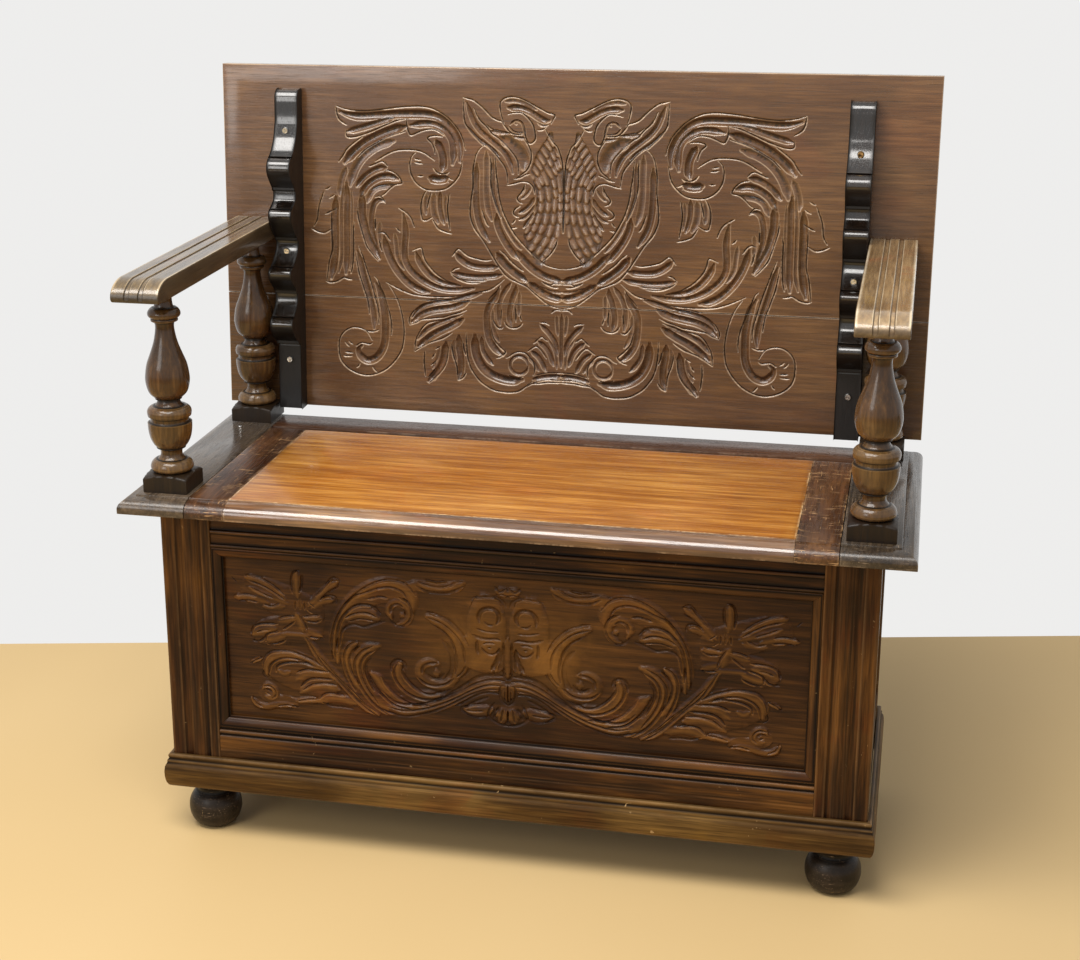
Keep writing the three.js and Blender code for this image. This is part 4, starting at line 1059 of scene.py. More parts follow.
# Raised feathers of a breast and neck: half width, upper and lower end. The ground that they stand on is sunk.
BACK_FEATHERS = """
    3 -26,82 -17,96  3 -14.5,98 -11,109  3 -10.5,111 -7.5,123  3.1 -31,88 -20.5,101  3.1 -20.5,103 -15.5,113
    3.1 -15,115 -10.5,126  3.1 -35,97 -25,110  3.1 -25,112 -19.5,121  3.1 -19,122 -13,131.5  3.2 -39,105 -29,119
    3.2 -28.5,121 -18.5,136  3.2 -42,113 -32.5,126  3.2 -32,128 -24.5,145  3.1 -45,121.5 -36.5,133
    3.2 -36,134 -30.5,145  3 -49,130 -42,138  3.2 -41,137 -34,149.5  3.3 -18,137 -15,148.5  3.4 -15.5,150 -13.5,160.5
    3.1 -11,131 -8,154  3.7 -24.5,148 -22.5,164.5  3.7 -33.5,151 -32.5,166  3 -8.3,156 -8,166  3.2 -8,168 -8,176.5
    3.6 -14,162 -15.5,178.5 3.9 -22.5,167 -24,178.5 3.9 -32,168 -33.5,179 3.3 -40.5,171 -41.5,182 3.3 -8,179 -8,193
    3.7 -15.5,181 -17,194  3.9 -24.5,181 -27.5,195  3.9 -34,182 -38,194  3.5 -43,184 -46.5,195  3.4 -9,196 -12,211
    3.9 -18,197 -23,210.5  3.9 -28,197 -34,206.5  3.9 -38,196 -43,204.5  3.4 -47,197 -52.5,207  3.9 -43,207 -49.5,215
    3.9 -33,209 -40.5,220 3.9 -22.5,212.5 -30,223.5 3.5 -13.5,213 -20.5,225 3.7 -40,222 -46,229 3.7 -30,225 -37,233
    3.7 -20,228 -27,235.5  3.4 -27,237 -31,242"""
BREAST = "-21,80 -22.5,90 -24.5,103 -25.5,122 -24,142 -21,160 -23,180 -29,198 -33,213 -33,230 -33,240"
BREAST_WIDTHS = ((78, 90, 105, 125, 145, 160, 180, 200, 215, 232, 242),
                 (2, 6, 14, 20.5, 18.5, 17, 18.5, 22.5, 22, 13, 6))

# Carving of the chest's front panel, left half: x and the distance down from CARVING_TOP. First the ridges that
# stand on the sunk ground: half width, then the run.
FRONT_RIDGES = """
    10 -1,148 -22,147.5 -42,155 -60,166 -80,176 -104,185 -128,190 -150,187
    10 -148,190 -167,177 -180,158 -186,140 -180,123 -168,113 -158,109
    10 -84,168 -106,170 -124,163 -134,150 -135,137 -132,130
    8 -106,186 -132,180 -150,166 -160,152 -168,145
    7.5 -184,166 -195,148 -199,130 -195,116 -186,108
    6.5 -160,199 -180,188 -198,168 -214,151 -230,134 -242,116 -250,106
    10 -210,134 -211,106 -207,86 -198,66 -184,48 -164,34 -144,29 -124,34 -115,48 -117,64
    10 -202,77 -188,71 -172,70 -158,74
    5.5 -141,73 -145,62 -139,53 -130,52 -121,58 -119,68 -125,76 -134,79
    6 -130,66 -126,68
    8 -122,28 -102,29 -80,29 -62,26 -53,20
    9 -98,66 -80,73 -65,85 -57,100 -56,118 -59,134 -67,146
    7 -62,144 -78,153 -96,152 -107,143 -106,131 -96,125 -84,126
    7 -90,138 -84,137
    6.5 -32,99 -24,98.5 -16,99
    4.6 -0.5,86 -0.5,112 -0.5,133
    6.5 -0.5,131 -0.5,134
    4.5 -18,126 -14,129
    9 -0.5,150 -0.5,163
    12 -13,184 -0.5,187
    8 -20,179 -36,182.5 -52,181
    7 -14,27 -0.5,29
    6 -323,34 -305,38 -288,48 -272,59
    5 -318,47 -302,54 -286,59 -270,64
    5.5 -337,61 -322,60 -308,61 -294,65
    5 -301,70 -288,70 -274,68
    6 -258,23 -258.5,40 -257,55
    6 -207,31 -219,40 -231,52 -244,65
    5 -213,55 -226,58 -240,67
    6 -254.5,60 -254.5,68
    8 -260,76 -255,86 -252,98
    5.5 -250,81 -239,80.5 -228,80
    5.5 -248,97 -237,100 -228,103
    7.5 -317,108 -304,103 -286,98
    6.5 -299,113 -288,111 -274,106
    5 -282,88 -271,86 -260,83
    4 -278,104 -244,104
    9 -300,158 -298,143 -286,134 -268,132 -250,137 -234,145 -216,156
    4.5 -285,152 -278,156 -270,153
    7 -262,162 -250,155 -236,152 -218,154
    6 -258,179 -244,171 -228,168 -208,171
    6.5 -237,189 -222,184 -206,183 -188,187
    5 -263,191 -250,189 -236,188
    5 -306,178 -300,173 -292,177 -290,185 -296,190 -303,188
    5 -321,192 -314,200 -302,202 -286,198 -268,197
    3.5 -320,144 -306,139"""

# Gouged hollows of the front panel: half width, then the run.
FRONT_HOLLOWS = """
    2.4 -5,141 -22,141 -40,147.5 -60,160 -80,170.5 -102,178.5 -122,182 -140,179 -153,168
    2 -6,146.5 -24,147.5 -42,155 -62,167 -84,178.5 -106,186.5 -128,190.5 -148,187
    2.2 -10,152 -26,153.5 -44,160.5 -62,171.5 -84,184 -106,193 -128,197.5 -147,194 -160,188
    2.4 -74,166 -92,172.5 -110,172 -126,164.5 -136.5,152 -139.5,140 -136,131
    2.2 -72,158 -84,163.5 -98,166 -112,161 -123,151 -129,141 -129,133
    2.2 -96,180.5 -116,181 -134,173.5 -148,160 -155,149
    2.2 -118,188.5 -140,184 -156,171 -166,157 -171,146
    2.4 -150,197 -168,182.5 -181,164 -187.5,146 -187.5,131 -179,118.5 -165,109.5
    2.2 -160,184 -172,168 -180,151 -181,135 -174,122.5 -163,115.5
    2 -165,168 -173,151 -174.5,137 -168,126
    2 -188,170 -197,151 -201,134 -200,121 -194,111 -184,106
    2 -184,161 -192,146 -195,131 -190,118 -182,112
    2 -160,201 -178,190 -196,173 -212,156 -228,140 -240,121 -247,108
    1.8 -168,194 -186,180 -202,163 -218,146 -233,128
    2.2 -216,132 -216.5,110 -213,90 -205,70 -192,52 -176,38 -158,27.5 -140,23.5 -122,28 -111,41
    2.6 -209,122 -209,100 -204,80 -191,63.5 -177,58 -164,59.5 -155,68
    2 -206,112 -204,97 -199,89 -188,84.5 -176,86.5 -164,82 -150,77
    2.2 -200,60 -188,49 -174,42.5 -156,35 -140,33 -127,38 -121,48
    2 -170,50 -156,46 -146,47
    1.8 -209,104 -212,124 -212,138
    2.2 -198,76 -186,70 -172,68 -160,72
    1.6 -194,80.5 -182,76.5 -170,76.5 -160,78
    2.6 -143,66 -141,57 -134,53.5 -127,56.5
    2 -144,72 -138,80 -128,81 -119,73 -116,62 -121,50 -132,45
    2.6 -110,28 -100,33.5 -88,35 -74,34.5 -62,30 -54,25
    1.8 -108,23.5 -94,27 -80,28 -68,24 -60,19
    1.6 -100,20 -86,22 -74,20
    2.4 -98,60.5 -84,64.5 -73,69.5 -63,77.5 -55,87 -48,98
    2 -98,67 -83,72 -72,79 -61,90 -54,103 -52,120
    2 -92,75 -80,82 -70,92 -64,106 -62,122 -64,136
    3 -80,95 -73,103 -68.5,114 -68,126 -70,136 -77,144
    2.6 -105,139 -103.5,131 -96,126 -85,124.5
    2.4 -110,145 -101,152 -88,154 -76,151 -66,143
    2.2 -98,141 -92,145 -83,144 -78,138
    2.4 -143,141 -142,131 -135.5,125.5 -128,128 -124.5,135
    3.3 -34.5,68 -35,60 -31.5,53 -24,49.5 -16,50.5 -11.5,56 -11,63 -14,68.5
    1.6 -29,66 -24,70.5 -17,70
    2.1 -42,38 -30,36 -18,35.5 -10,37.5 -5,42 -2.8,47
    1.6 -16,22 -10,28 -3,24
    1.6 -16,34 -8,31 -0.5,33
    2.3 -43,84 -36,87 -26,88.5 -14,87.5 -9,89
    1.5 -38,76 -26,79 -12,79
    2.3 -37,91 -37.5,100 -36,108
    1.9 -32,99 -27,105.5 -20,107.5 -14,105 -10.5,99
    1.6 -30,95 -24,93 -16,93.5
    2 -24.5,99 -20,99
    2.4 -5.6,91 -5.4,105 -5.4,120 -5.2,132
    3.6 -10.5,99 -11.5,110 -15,119 -20,127
    2.8 -9,105 -9.5,117 -10,127
    2.2 -6,131 -4,136.5 -0.5,140
    1.8 -14,124.5 -17.5,128 -16,132.5
    2.6 -5,135 -15,134.7 -28,135.5 -38,139.5 -46,145 -56,153 -68,162 -80,169
    2.2 -11,158.5 -20,156.5 -30,158 -42,163.5 -54,171.5 -66,178.5
    2 -24,163 -34,167.5 -44,173 -50,176.5
    2 -9,146 -10.5,156 -8,166 -0.5,172.5
    1.4 -4,152 -4,166
    1.4 -0.5,145 -0.5,168
    2.1 -17,170 -22,178 -24.5,186 -20,192 -10,197 -0.5,199
    1.7 -12,175 -18,190
    1.7 -6,177 -9,193
    1.6 -0.5,178 -0.5,194
    1.8 -27,172 -42,175 -58,181 -50,187 -38,190.5 -26,189
    1.6 -30,181 -42,182.5 -52,181.5
    1.7 -46,127 -51,135 -60,144
    1.7 -51,125 -55,133 -62,140
    1.9 -320,31 -304,34 -288,42 -274,53
    1.9 -319,38 -302,43 -288,50 -274,59
    1.8 -315,47 -300,54 -288,58.5
    1.8 -334,58 -322,56 -309,58
    1.8 -332,65 -320,63.5 -308,65
    1.7 -300,67 -290,69 -279,64
    1.9 -264,50 -265,35 -262,24 -255,21
    1.9 -252,26 -252,38 -255,49
    1.9 -204,30 -213,27 -221,36 -234,51
    1.8 -206,37 -216,43 -228,54
    1.8 -209,59 -211,51 -222,51 -229,56
    1.6 -254.5,57 -254.5,70
    1.6 -260,60 -261,70
    1.6 -249,60 -249,70
    1.7 -250,79 -240,77 -231,76
    1.7 -248,84.5 -236,85 -228,81
    1.6 -246,104.5 -236,105.5 -227,104.5
    1.8 -256,78 -249,90 -246,100
    2 -318,111 -315,98.5 -304,93 -284,91.5
    1.9 -317,116.5 -306,115 -300,109
    1.5 -310,104 -302,101 -294,100
    1.9 -299.5,115 -299,107.5 -292,103.5 -282,101
    1.8 -297,118.5 -286,117 -275,112
    1.7 -281,84 -272,80.5 -261,79.5
    1.7 -277,98 -269,92 -262,86
    2.2 -304.5,151 -303,140 -296,131 -285,127 -270,126 -257,129 -242,134.5 -229,142
    2 -298,160 -294.5,146 -284,137.5 -268,134.5 -250,138 -238,143
    2 -288,154 -286.5,147 -278,142.5 -266,140 -252,139.5 -241,143
    2.2 -262,153 -252,149 -240,147.5 -222,148.5
    2.2 -257,171 -250,163 -239,158.5 -216,157.5
    1.9 -254,175 -242,167 -226,164 -212,165
    1.9 -234,185 -227,178 -217,176.5 -202,178.5
    1.9 -230,189 -220,193.5 -206,193.5 -192,195
    1.7 -261,190.5 -250,187.5 -238,186
    1.8 -305,175 -297,174 -291,178.5 -289.5,185.5 -294,190
    1.6 -302,183 -297,186
    1.7 -320,190 -316,198 -307,202.5
    1.7 -287,199.5 -274,197 -261,199
    1.5 -321,146 -312,140.5 -305,137.5"""

# Broad raised grounds: half width and how far under the face, then the run.
FRONT_RISES = """
    24/0.5 -26,54 -26,100
    22/0.5 -46,106 -20,112
    21/1.1 -312,50 -288,57 -262,66 -242,74
    19/1.1 -300,104 -272,98 -242,93
    18/1.2 -284,152 -258,160 -226,168
    8/1.2 -306,184 -296,190 -268,194
    13/1.2 -190,150 -176,176 -150,186 -110,180
    12/1.2 -186,60 -160,44 -134,40"""

# Fine V lines of the front panel.
FRONT_LINES = """
    -304,153 -306,160 -300,165
    -214,150 -196,166 -178,184 -162,196
    -340,36 -334,42
    -96,20 -84,24
    -244,60 -236,66
    -246,70 -240,74"""


# ---- Carving ----

def pairs(text):
    return [tuple(float(v) for v in p.split(",")) for p in text.split()]


class Stroke:
    """One run of a tool along a smooth line. Its width dies away at both ends."""

    # In the order of the work: where rows of points follow the run, as shares of the half width, and the depth.
    SHARES = {"sink": (-0.9, 0.9), "rise": (-0.93, 0.93), "ridge": (0, -0.5, 0.5, -0.8, 0.8),
              "gouge": (0, -0.5, 0.5, -0.85, 0.85), "vee": (0,)}
    DEPTH = {"vee": 1.3, "gouge": 0.84, "ridge": 1, "sink": 0.1, "rise": 1}
    GUARD = 1.1            # a line of points this far outside a cut keeps its edge crisp

    def __init__(self, kind, half, points, step=2.4, tail=0.12, least=0.4, depth=None):
        self.kind, self.half = kind, half
        self.path = smooth(points, step)
        share = np.linspace(0, 1, len(self.path))
        self.width = half * np.clip(np.minimum(share, 1 - share) / tail, least ** 2, 1) ** 0.5
        self.depth = depth or self.DEPTH[kind] * half
        self.drop = 0      # how much lower the start lies than the end, as feathers overlap

    def mirrored(self, about):
        twin = object.__new__(Stroke)
        twin.__dict__.update(self.__dict__)
        twin.path = np.stack([2 * about - self.path[:, 0], self.path[:, 1]], 1)
        return twin

    def rows(self):
        """Lines of points along the cut, and whether the faces keep each line."""
        ahead = np.gradient(self.path, axis=0)
        ahead /= np.linalg.norm(ahead, axis=1)[:, None]
        across = np.stack([-ahead[:, 1], ahead[:, 0]], 1)
        made = [(self.path + across * (share * self.width)[:, None], share == 0)
                for share in self.SHARES[self.kind]]
        for guard in (0, self.GUARD):
            wide = self.width + guard
            sides = [self.path + way * across * wide[:, None] for way in (1, -1)]
            ends = []
            for at, way in ((-1, 1), (0, -1)):
                turn = np.radians(np.array([45, 90, 135]))[:, None]
                round_end = np.cos(turn) * across[at] + np.sin(turn) * ahead[at]
                ends.append(self.path[at] + wide[at] * way * round_end)
            made.append((np.vstack([sides[0], ends[0], sides[1][::-1], ends[1], sides[0][:1]]), not guard))
        return made

    def nearest(self, at):
        """Which points lie near, how far off, the cut's half width there, how far along it they are, and how much
        of the way to them is down the board, from -1 to 1."""
        reach = self.half + 1.4
        near = np.nonzero(((at > self.path.min(0) - reach) & (at < self.path.max(0) + reach)).all(1))[0]
        a, run = self.path[:-1], np.diff(self.path, axis=0)
        t = ((at[near][:, None] - a) * run).sum(2) / np.maximum((run ** 2).sum(1), 1e-9)
        t = np.clip(t, 0, 1)
        gap = at[near][:, None] - a - t[..., None] * run
        off = np.linalg.norm(gap, axis=2)
        best = off.argmin(1)
        pick = np.arange(len(near))
        below = gap[pick, best, 1] / np.maximum(off[pick, best], 1e-6)
        width = self.width[best] + t[pick, best] * (self.width[best + 1] - self.width[best])
        return near, off[pick, best], width, (best + t[pick, best]) / (len(self.path) - 1), below


DEEPEST = 3.8          # no cut in the sunk ground goes deeper than this


def worked(strokes, at, ground=0.0):
    """Height of the carved face at each point, and the marks that wear, dirt and painted light follow."""
    height = np.full(len(at), float(ground))
    crest, hollow = np.zeros(len(at)), np.zeros(len(at))
    for stroke in sorted(strokes, key=lambda s: list(Stroke.SHARES).index(s.kind)):
        near, off, width, run, below = stroke.nearest(at)
        share, now = off / width, height[near]
        inside = share < 1
        if stroke.kind == "sink":
            deep = stroke.depth * np.clip((1 - share) / 0.1, 0, 1)
            height[near] = np.minimum(now, np.where(inside, -deep, 0))
            # The sunk ground round the feathers is darker: dirt and painted shade.
            hollow[near] = np.maximum(hollow[near], np.where(inside, 0.62, 0))
        elif stroke.kind == "rise":
            up = np.clip((1 - share) / 0.07, 0, 1) * inside
            height[near] = np.maximum(now, now * (1 - up) - stroke.depth * up)
        elif stroke.kind == "ridge":
            t = np.clip((share - 0.7) / 0.3, 0, 1)
            side = 1 - t * t * (3 - 2 * t)
            crown = -0.16 * stroke.half * np.clip(share, 0, 1) ** 2 - stroke.drop * (1 - run)
            height[near] = np.maximum(now, np.where(inside, now + (crown - now) * side, now))
            # Crowns worn paler; on feathers this grows into a painted highlight towards the lower end, and the upper
            # end, tucked under the feather above, gets a painted shadow.
            made_paler = np.clip(1 - share / 0.7, 0, 1) * 0.45 * (run if stroke.drop else 1)
            crest[near] = np.maximum(crest[near], made_paler)
            hollow[near] = np.where(share < 0.85, 0.3 * (1 - run) if stroke.drop else 0, hollow[near])
        else:
            # Painted light from above: the upper wall of a cut gets painted shade and its lower edge a painted
            # highlight, over dirt in the cut and wear along its edges.
            if stroke.kind == "gouge":
                fall, edge, strength = 1 - share ** 2, 0.9, 0.7
                dirt_and_shade = 0.55 * fall * (1 - 0.85 * below)
            else:
                fall, edge, strength = 1 - share, 1.0, 1.0
                dirt_and_shade = (1 - 0.45 * share) * (1 - 0.5 * np.maximum(below, 0))
            cut_to = (now if ground else 0) - stroke.depth * (width / stroke.half) * fall
            if ground:
                height[near] = np.where(inside, np.maximum(cut_to, -DEEPEST), now)
            else:
                height[near] = np.where(inside, np.minimum(now, cut_to), now)
            hollow[near] = np.maximum(hollow[near], np.where(inside, dirt_and_shade, 0))
            pale = np.clip(1 - abs(off - width) / edge, 0, 1) * strength * np.clip(0.5 + 0.75 * below, 0.12, 1)
            crest[near] = np.maximum(crest[near], pale)
    if ground:
        # The sunk ground is darker and unworn: dirt and painted shade.
        low = np.clip((-1.2 - height) / 1.4, 0, 1)
        hollow = np.maximum(hollow, low * 0.55)
        crest = crest * (1 - low)
    return height, {"crest": crest * (1 - hollow), "hollow": hollow}


def plan(strokes, low, high, spacing, lines=()):
    """Points and triangles over a rectangle that follow every cut."""
    points, edges = [], []
    for stroke in strokes:
        for row, kept in stroke.rows():
            inside = ((row > np.array(low) + 0.4) & (row < np.array(high) - 0.4)).all(1)
            number = np.cumsum(inside) - 1 + len(points)
            points += row[inside].tolist()
            if kept:
                edges += [(int(number[i]), int(number[i + 1])) for i in range(len(row) - 1)
                          if inside[i] and inside[i + 1]]
    for line in lines:
        start = len(points)
        points += [list(p) for p in line]
        edges += [(start + i, start + i + 1) for i in range(len(line) - 1)]
    for x in np.arange(low[0] + spacing, high[0], spacing):
        points += [[x, s] for s in np.arange(low[1] + spacing, high[1], spacing)]
    start = len(points)
    points += [[low[0], low[1]], [high[0], low[1]], [high[0], high[1]], [low[0], high[1]]]
    edges += [(start, start + 1), (start + 1, start + 2), (start + 2, start + 3), (start + 3, start)]
    at, _, faces, *_ = geometry.delaunay_2d_cdt([Vector(p) for p in points], edges, [], 1, 1e-3)
    return np.array([tuple(p) for p in at]), np.array([f for f in faces if len(f) == 3])


def carved_board(at, faces, height, marks, eases, thick, place):
    """A board whose show face is carved: the face, its eased arrises, its edges and a plain back."""
    used = np.unique(faces)
    number = np.full(len(at), -1)
    number[used] = np.arange(len(used))
    at, height, faces = at[used], height[used], number[faces]
    marks = {k: v[used] for k, v in marks.items()}
    sides = {(a, b) for f in faces.tolist() for a, b in zip(f, f[1:] + f[:1])}
    follow = {a: b for a, b in sides if (b, a) not in sides}
    loop = [next(iter(follow))]
    while follow[loop[-1]] != loop[0]:
        loop.append(follow[loop[-1]])
    rim = at[loop]
    low, high = at.min(0), at.max(0)
    out = np.zeros((len(loop), 2))
    for k in (0, 1):
        out[:, k] = np.where(abs(rim[:, k] - low[k]) < 0.01, -eases[k][0],
                             np.where(abs(rim[:, k] - high[k]) < 0.01, eases[k][1], 0))
    size = abs(out).max(1)
    rings = [(0.6, 0.2 * size), (1, 0.9 * size), (1, thick - 0.9 * size), (0.4, np.full(len(loop), float(thick)))]
    verts = [np.column_stack([at, -height])]
    level = np.ptp(height[faces], axis=1) < 1e-4
    faces = faces.tolist()
    last, count = np.array(loop), len(at)
    for reach, deep in rings:
        deep = np.maximum(deep, np.minimum(-height[loop] + 0.05, thick - 1))
        verts.append(np.column_stack([rim + out * reach, deep]))
        ring = np.arange(count, count + len(loop))
        faces += [[int(a), int(c), int(d), int(b)] for a, b, c, d in
                  zip(last, np.roll(last, -1), ring, np.roll(ring, -1))]
        last, count = ring, count + len(loop)
    faces.append([int(i) for i in last[::-1]])
    crest = np.concatenate([marks["crest"], np.repeat([0.7, 0.7, 0.1, 0.1], len(loop))])
    hollow = np.concatenate([marks["hollow"], np.zeros(count - len(at))])
    return (place(*np.vstack(verts).T), faces), {"crest": crest, "hollow": hollow, "level": level}


def listed(table):
    """Each line of a table: half width, depth or None, and the run."""
    for line in table.strip().splitlines():
        size, run = line.split(maxsplit=1)
        width, _, depth = size.partition("/")
        yield float(width), float(depth) if depth else None, pairs(run)


def with_mirrored(strokes, about):
    return strokes + [s.mirrored(about) for s in strokes]


def feather_strokes():
    """The raised feathers of a breast, over their sunk ground."""
    made = [Stroke("sink", 23, pairs(BREAST), 3, depth=2.3)]
    made[0].width = np.interp(made[0].path[:, 1], *BREAST_WIDTHS)
    words = BACK_FEATHERS.split()
    for half, start, end in zip(words[::3], words[1::3], words[2::3]):
        start, end = np.array(pairs(start)[0]), np.array(pairs(end)[0])
        way = (end - start) / np.linalg.norm(end - start)
        run = [start + way, (start + end) / 2, end - way * 1.4]
        made.append(Stroke("ridge", float(half) + 0.3, run, tail=0.2, least=0.9))
        made[-1].drop = 1.5
    return made


EYE = ((1.8, 2.2, "-74,70 -69,65 -63,64.5 -58,68 -55.5,75 -54,83"), (1.5, 1.8, "-75,72 -70,77.5 -63,79.5 -56,79"))


def add_back():
    strokes = []
    for block in BACK_LINES.values():
        strokes += [Stroke("vee", 1.15, pairs(line)) for line in block.strip().splitlines()]
    strokes += [Stroke("gouge", width, run, depth=depth) for width, depth, run in listed(BACK_HOLLOWS)]
    strokes = with_mirrored(strokes, CARVING_MIDDLE) + with_mirrored(feather_strokes(), CARVING_MIDDLE)
    strokes += with_mirrored([Stroke("gouge", half, pairs(line), 1.6, depth=deep) for half, deep, line in EYE],
                             CARVING_MIDDLE)
    strokes += [Stroke("gouge", 1.2, [(x, 68), (x + 1.2, 69)], 1, least=1) for x in (-67, 54)]
    strokes += [Stroke("gouge", 2.4, curve((x, 380), (12, 12), 0, 360, 12)) for x in (-59, 52)]
    ease, gap = 1.2, 0.62
    limit = TOP_HALF - ease
    seam = [(x, TOP_JOINT) for x in (-limit, *np.arange(-452, -346, 7), *np.arange(-345, 346, 2.3),
                                     *np.arange(350, 453, 7), limit)]
    beside = [[(x, TOP_JOINT + off) for x, _ in seam[1:-1]] for off in (-1.3, 1.3)]
    at, faces = plan(strokes, (-limit, ease), (limit, TOP_LENGTH - ease), 24, [seam, *beside])
    height, marks = worked(strokes, at)
    on_seam = abs(at[:, 1] - TOP_JOINT) < 0.01
    marks["hollow"] = np.minimum(marks["hollow"], 1)
    marks["crest"][on_seam & (abs(at[:, 0]) < limit - 1)] = 0.9
    middle = at[faces].mean(1)[:, 1]

    def place(x, s, deep):
        return leaned((np.column_stack([x, FACE + deep, TOP_RISE - s]), None))[0]

    for name, mine, way, eases in (("upper", middle < TOP_JOINT, -gap, ((ease, ease), (ease, 0.6))),
                                   ("lower", middle > TOP_JOINT, gap, ((ease, ease), (0.6, ease)))):
        shifted = at.copy()
        shifted[on_seam, 1] += way
        shape, own = carved_board(shifted, faces[mine], height, marks, eases, TOP_THICK, place)
        add(f"carved_board_{name}", shape, "top", "brown x", f"top_board_{name}", sharp=60, marks=own)


def add_front_panel():
    strokes = [Stroke("ridge", width, run) for width, _, run in listed(FRONT_RIDGES)]
    strokes += [Stroke("gouge", width, run, depth=0.85 * width) for width, _, run in listed(FRONT_HOLLOWS)]
    strokes += [Stroke("rise", width, run, 4, 0.1, 0.9, depth) for width, depth, run in listed(FRONT_RISES)]
    strokes += [Stroke("vee", 0.8, pairs(line)) for line in FRONT_LINES.strip().splitlines()]
    strokes = with_mirrored(strokes, PANEL_MIDDLE)
    half = CHEST_HALF - POST_WIDTH + PANEL_TONGUE - 0.5
    low = CARVING_TOP - (TOP_RAIL_LOW + PANEL_TONGUE) + 0.5
    high = CARVING_TOP - (BOTTOM_RAIL_TOP - PANEL_TONGUE) - 0.5
    at, faces = plan(strokes, (-half, low), (half, high), 9)
    height, marks = worked(strokes, at, -2.6)
    flat = (abs(at[:, 0]) > 350) | (at[:, 1] < 8) | (at[:, 1] > 218)
    height[flat] = np.minimum(height[flat], -0.3)

    def place(x, s, deep):
        return np.column_stack([x, -CHEST_REACH + PANEL_BACK + SHIFT_Y + deep, CARVING_TOP - s])

    shape, own = carved_board(at, faces, height, marks, ((0.5, 0.5), (0.5, 0.5)), 10, place)
    x, s = shape[0][:, 0], CARVING_TOP - shape[0][:, 2]
    made_paler = 0.8 * np.exp(-((abs(x) - 55) / 62) ** 2 - ((s - 98) / 52) ** 2)
    own["crest"] = np.maximum(own["crest"], made_paler * (1 - 0.6 * own["hollow"]))
    own["hollow"] = own["hollow"] * (0.8 - 0.5 * made_paler)
    add("carved_front_panel", shape, "chest", "carved x", "panel_front", sharp=60, marks=own)


# ---- Screws and a nail ----

def screw_tree():
    """Nodes that put a slotted head on every point: a cone cut by a slot, turned at random, tipped, made real."""
    tree = bpy.data.node_groups.new("slotted heads", "GeometryNodeTree")
    for name, kind in (("Geometry", "Geometry"), ("Head radius", "Float"), ("Head depth", "Float"),
                       ("Slot width", "Float"), ("Tip", "Float"), ("Finish", "Material")):
        tree.interface.new_socket(name, in_out="INPUT", socket_type="NodeSocket" + kind)
    tree.interface.new_socket("Geometry", in_out="OUTPUT", socket_type="NodeSocketGeometry")

    def node(kind, sockets=None, **settings):
        return add_node(tree, kind, settings, sockets)

    def times(value, number):
        return node("ShaderNodeMath", {0: value, 1: number}, operation="MULTIPLY").outputs[0]

    def vector(**sockets):
        return node("ShaderNodeCombineXYZ", sockets).outputs[0]

    given = node("NodeGroupInput").outputs
    radius, depth = given["Head radius"], given["Head depth"]
    head = node("GeometryNodeMeshCone", {"Vertices": 28, "Radius Top": times(radius, 0.8), "Radius Bottom": radius,
                                         "Depth": depth})
    bar = node("GeometryNodeMeshCube", {"Size": vector(X=times(radius, 3), Y=given["Slot width"], Z=depth)})
    lifted = node("GeometryNodeTransform", {"Geometry": bar.outputs[0], "Translation": vector(Z=times(depth, 1.1))})
    slotted = node("GeometryNodeMeshBoolean", {"Mesh 1": head.outputs["Mesh"], "Mesh 2": lifted.outputs[0]},
                   operation="DIFFERENCE", solver="EXACT")
    placed = node("GeometryNodeInstanceOnPoints", {"Points": given["Geometry"], "Instance": slotted.outputs[0],
                                                   "Rotation": vector(X=given["Tip"])})
    chance = node("FunctionNodeRandomValue", {"Seed": 5, 3: 3.1}, data_type="FLOAT")
    spun = node("GeometryNodeRotateInstances", {"Instances": placed.outputs[0],
                                                "Rotation": vector(Z=chance.outputs[1]), "Local Space": True})
    real = node("GeometryNodeRealizeInstances", {"Geometry": spun.outputs[0]})
    done = node("GeometryNodeSetMaterial", {"Geometry": real.outputs[0], "Material": given["Finish"]})
    node("NodeGroupOutput", {0: done.outputs[0]})
    return tree


def add_heads(tree, name, body, places, sizes, tip, finish):
    """Slotted heads at the places, as one plain mesh on a body. Sizes: head radius, head depth, slot width."""
    points = bpy.data.meshes.new(name + "_places")
    points.from_pydata((np.array(places) * MM).tolist(), [], [])
    guide = linked(name + "_guide", points)
    tool = guide.modifiers.new("heads", "NODES")
    tool.node_group = tree
    values = dict(zip(("Head radius", "Head depth", "Slot width"), (s * MM for s in sizes)), Tip=tip,
                  Finish=finishes[finish])
    for item in tree.interface.items_tree:
        if item.in_out == "INPUT" and item.name in values:
            tool[item.identifier] = values[item.name]
    mesh = baked(guide)
    bpy.data.objects.remove(guide)
    mesh.name = name
    piece = linked(name, mesh)
    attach(piece, body)


SILVER_ROWS = ((-1, (0.122, 0.494, 0.841)), (1, (0.515, 0.867)))     # side, then shares of the bearer's length
GOLDEN_ROW = ((1, (0.148,)),)


def add_screws():
    tree, front = screw_tree(), bearer_front()
    x = BEARER_X + BEARER_THICK / 2
    for name, rows, finish in (("bright_screws", SILVER_ROWS, "bright steel"), ("golden_screw", GOLDEN_ROW, "brass")):
        places = [(way * x, BEARER_BACK - np.interp(share, front[:, 1], front[:, 0]) * BEARER_DEPTH - 0.9,
                   BEARER_RISE - share * BEARER_LENGTH) for way, shares in rows for share in shares]
        add_heads(tree, name, "top", leaned((places, None))[0], (4.3, 2.6, 1.0), math.radians(90) + LEAN, finish)
    add_heads(tree, "seat_nail", "chest", [(-418, 110, SEAT_TOP + 0.4)], (2.7, 1.2, 0.3), 0.0, "bright steel")


# ---- Making ----

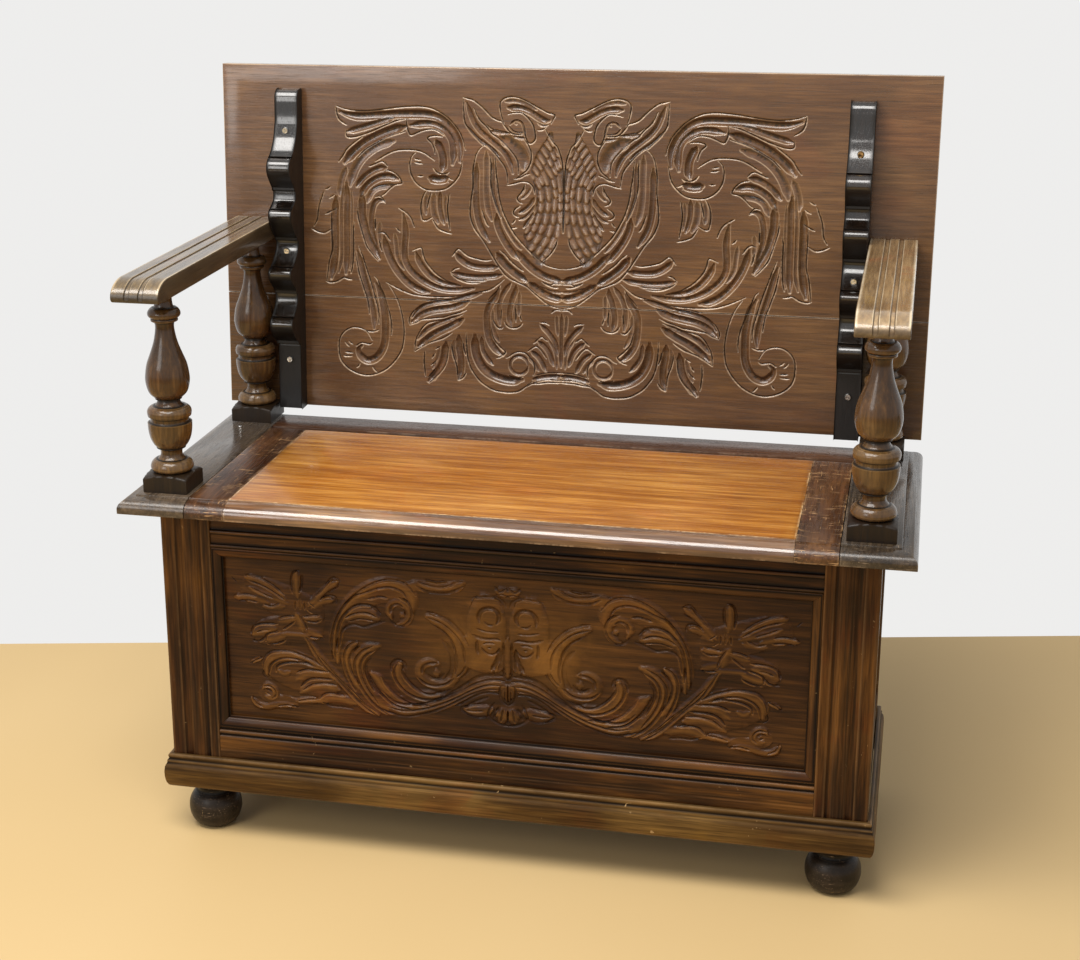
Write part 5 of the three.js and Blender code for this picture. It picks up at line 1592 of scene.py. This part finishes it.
BLACK = tones_of("060403 120c08 2a1d14")
DARK = tones_of("120803 34190b 6b451c")
CARVED = tones_of("180a04 3a1f0d 6b451f")
BROWN = tones_of("442e1d 664529 876440")
RAIL = tones_of("2c1a10 523524 76523a")
TURNED = tones_of("201205 54371a 8a6a3c")
WORN = tones_of("221508 513716 866737")
NOSING = tones_of("4a3020 8c6444 bd9368")
GREY = tones_of("1f1812 423528 6d5c49")
CLEAT = tones_of("24140a 4e321f 775032")
GOLDEN = tones_of("7d4411 b87528 d49b50")
ARMS = {"left": (tones_of("33240f 66502f 937c57"), "d0b892"), "right": (tones_of("553f24 97774e c4a577"), "f4e2c2")}
METALS = (("steel", "5c5650", "8d867c", 0.32), ("brass", "4a3a28", "c8a878", 0.22),
          ("bright steel", "a09e9a", "f4f4f2", 0.14))
finishes, SLOTS = {}, {}


def mix_finishes():
    def oak_of(key, slot, tones, rub, shine, grain=None, **more):
        """The grain runs along the axis that ends the key, if none is given."""
        name = key.replace(" ", "_") + "_oak"
        finishes[key], SLOTS[key] = oak(name, grain or key[-1], tones, tone(rub), shine, **more), slot

    oak_of("brown x", "brown_oak", BROWN, "dcc0a0", 0.27, figure=0.2, banding=0.15, rubbing=0.85, grime=0.95,
           coat=0.45, gloss=0.4, vary=0.5, dusty=0.15)
    oak_of("bearer z", "black_oak", BLACK, "5a4632", 0.15, figure=0.3, rubbing=0.5, coat=1.0, gloss=0.4, dusty=1.35)
    oak_of("black turned", "black_oak", BLACK, "7d6a58", 0.34, grain="z", rubbing=0.6, gloss=0.2, scratches=0.9,
           chips=0.6, grime=0.8)
    for grain in "xy":
        oak_of(f"worn {grain}", "worn_oak", WORN, "b08c5c", 0.42, rubbing=0.5, grime=0.9, gloss=0.12, chips=0.9,
               cloudy=0.9, vary=0.8)
        oak_of(f"panel {grain}", "brown_oak", DARK, "7a5534", 0.45)
    for grain in "xyz":
        oak_of(f"dark {grain}", "dark_oak", DARK, "96714a", 0.34, figure=0.6, banding=0.7, rubbing=0.42, grime=0.95,
               gloss=0.14, coat=0.06, chips=0.3, cloudy=1.0, vary=0.9)
    oak_of("carved x", "dark_oak", CARVED, "a87332", 0.34, figure=0.4, banding=0.25, rubbing=0.6, grime=0.98,
           gloss=0.16, coat=0.06, cloudy=0.9, vary=0.9)
    oak_of("grey y", "grey_oak", GREY, "94806a", 0.24, rubbing=0.5, scratches=0.5, coat=0.2)
    oak_of("cleat y", "grey_oak", CLEAT, "c39a6c", 0.24, rubbing=0.6, scratches=1.0, vary=0.8)
    oak_of("rail x", "brown_oak", RAIL, "94806a", 0.26, rubbing=0.5)
    oak_of("golden x", "golden_oak", GOLDEN, "f0d2a4", 0.24, figure=0.8, banding=0.25, rubbing=0.95, coat=0.2,
           vary=0.35)
    oak_of("nosing x", "worn_oak", NOSING, "e6c4a0", 0.16, coat=1.0, rubbing=0.5, vary=0.8)
    oak_of("turned z", "brown_oak", TURNED, "b8966a", 0.22, figure=0.3, banding=0.3, rubbing=0.4, grime=0.98,
           coat=0.35, gloss=0.25, vary=0.7)
    for side, (tones, rub) in ARMS.items():
        oak_of(f"arm {side}", "worn_oak", tones, rub, 0.24, grain="y", banding=0.5, rubbing=0.9, grime=0.75, coat=0.6,
               vary=1.0, cloudy=1.0)
    for key, low, high, shine in METALS:
        recipe = Recipe(key.replace(" ", "_") + "_metal", Metallic=1.0)
        dull = recipe.noise(recipe.place(), 350, 3)
        recipe.set(Base_Color=recipe.mix(dull.between(0.35, 0.6), tone(low), tone(high)),
                   Roughness=shine + dull * 0.2)
        finishes[key], SLOTS[key] = recipe.material, "steel"


add_camera()
add_stage()
mix_finishes()
add_feet()
add_plinth()
add_rails()
add_posts()
add_panels()
add_panel_frame()
add_front_panel()
add_seat()
add_balusters()
add_arms()
add_bearers()
add_back()
add_screws()
for node in ("lid_pin_left", "lid_pin_right", "pivot_pin_left", "pivot_pin_right"):
    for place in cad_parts[node].material_slots:
        place.material = finishes["steel"]
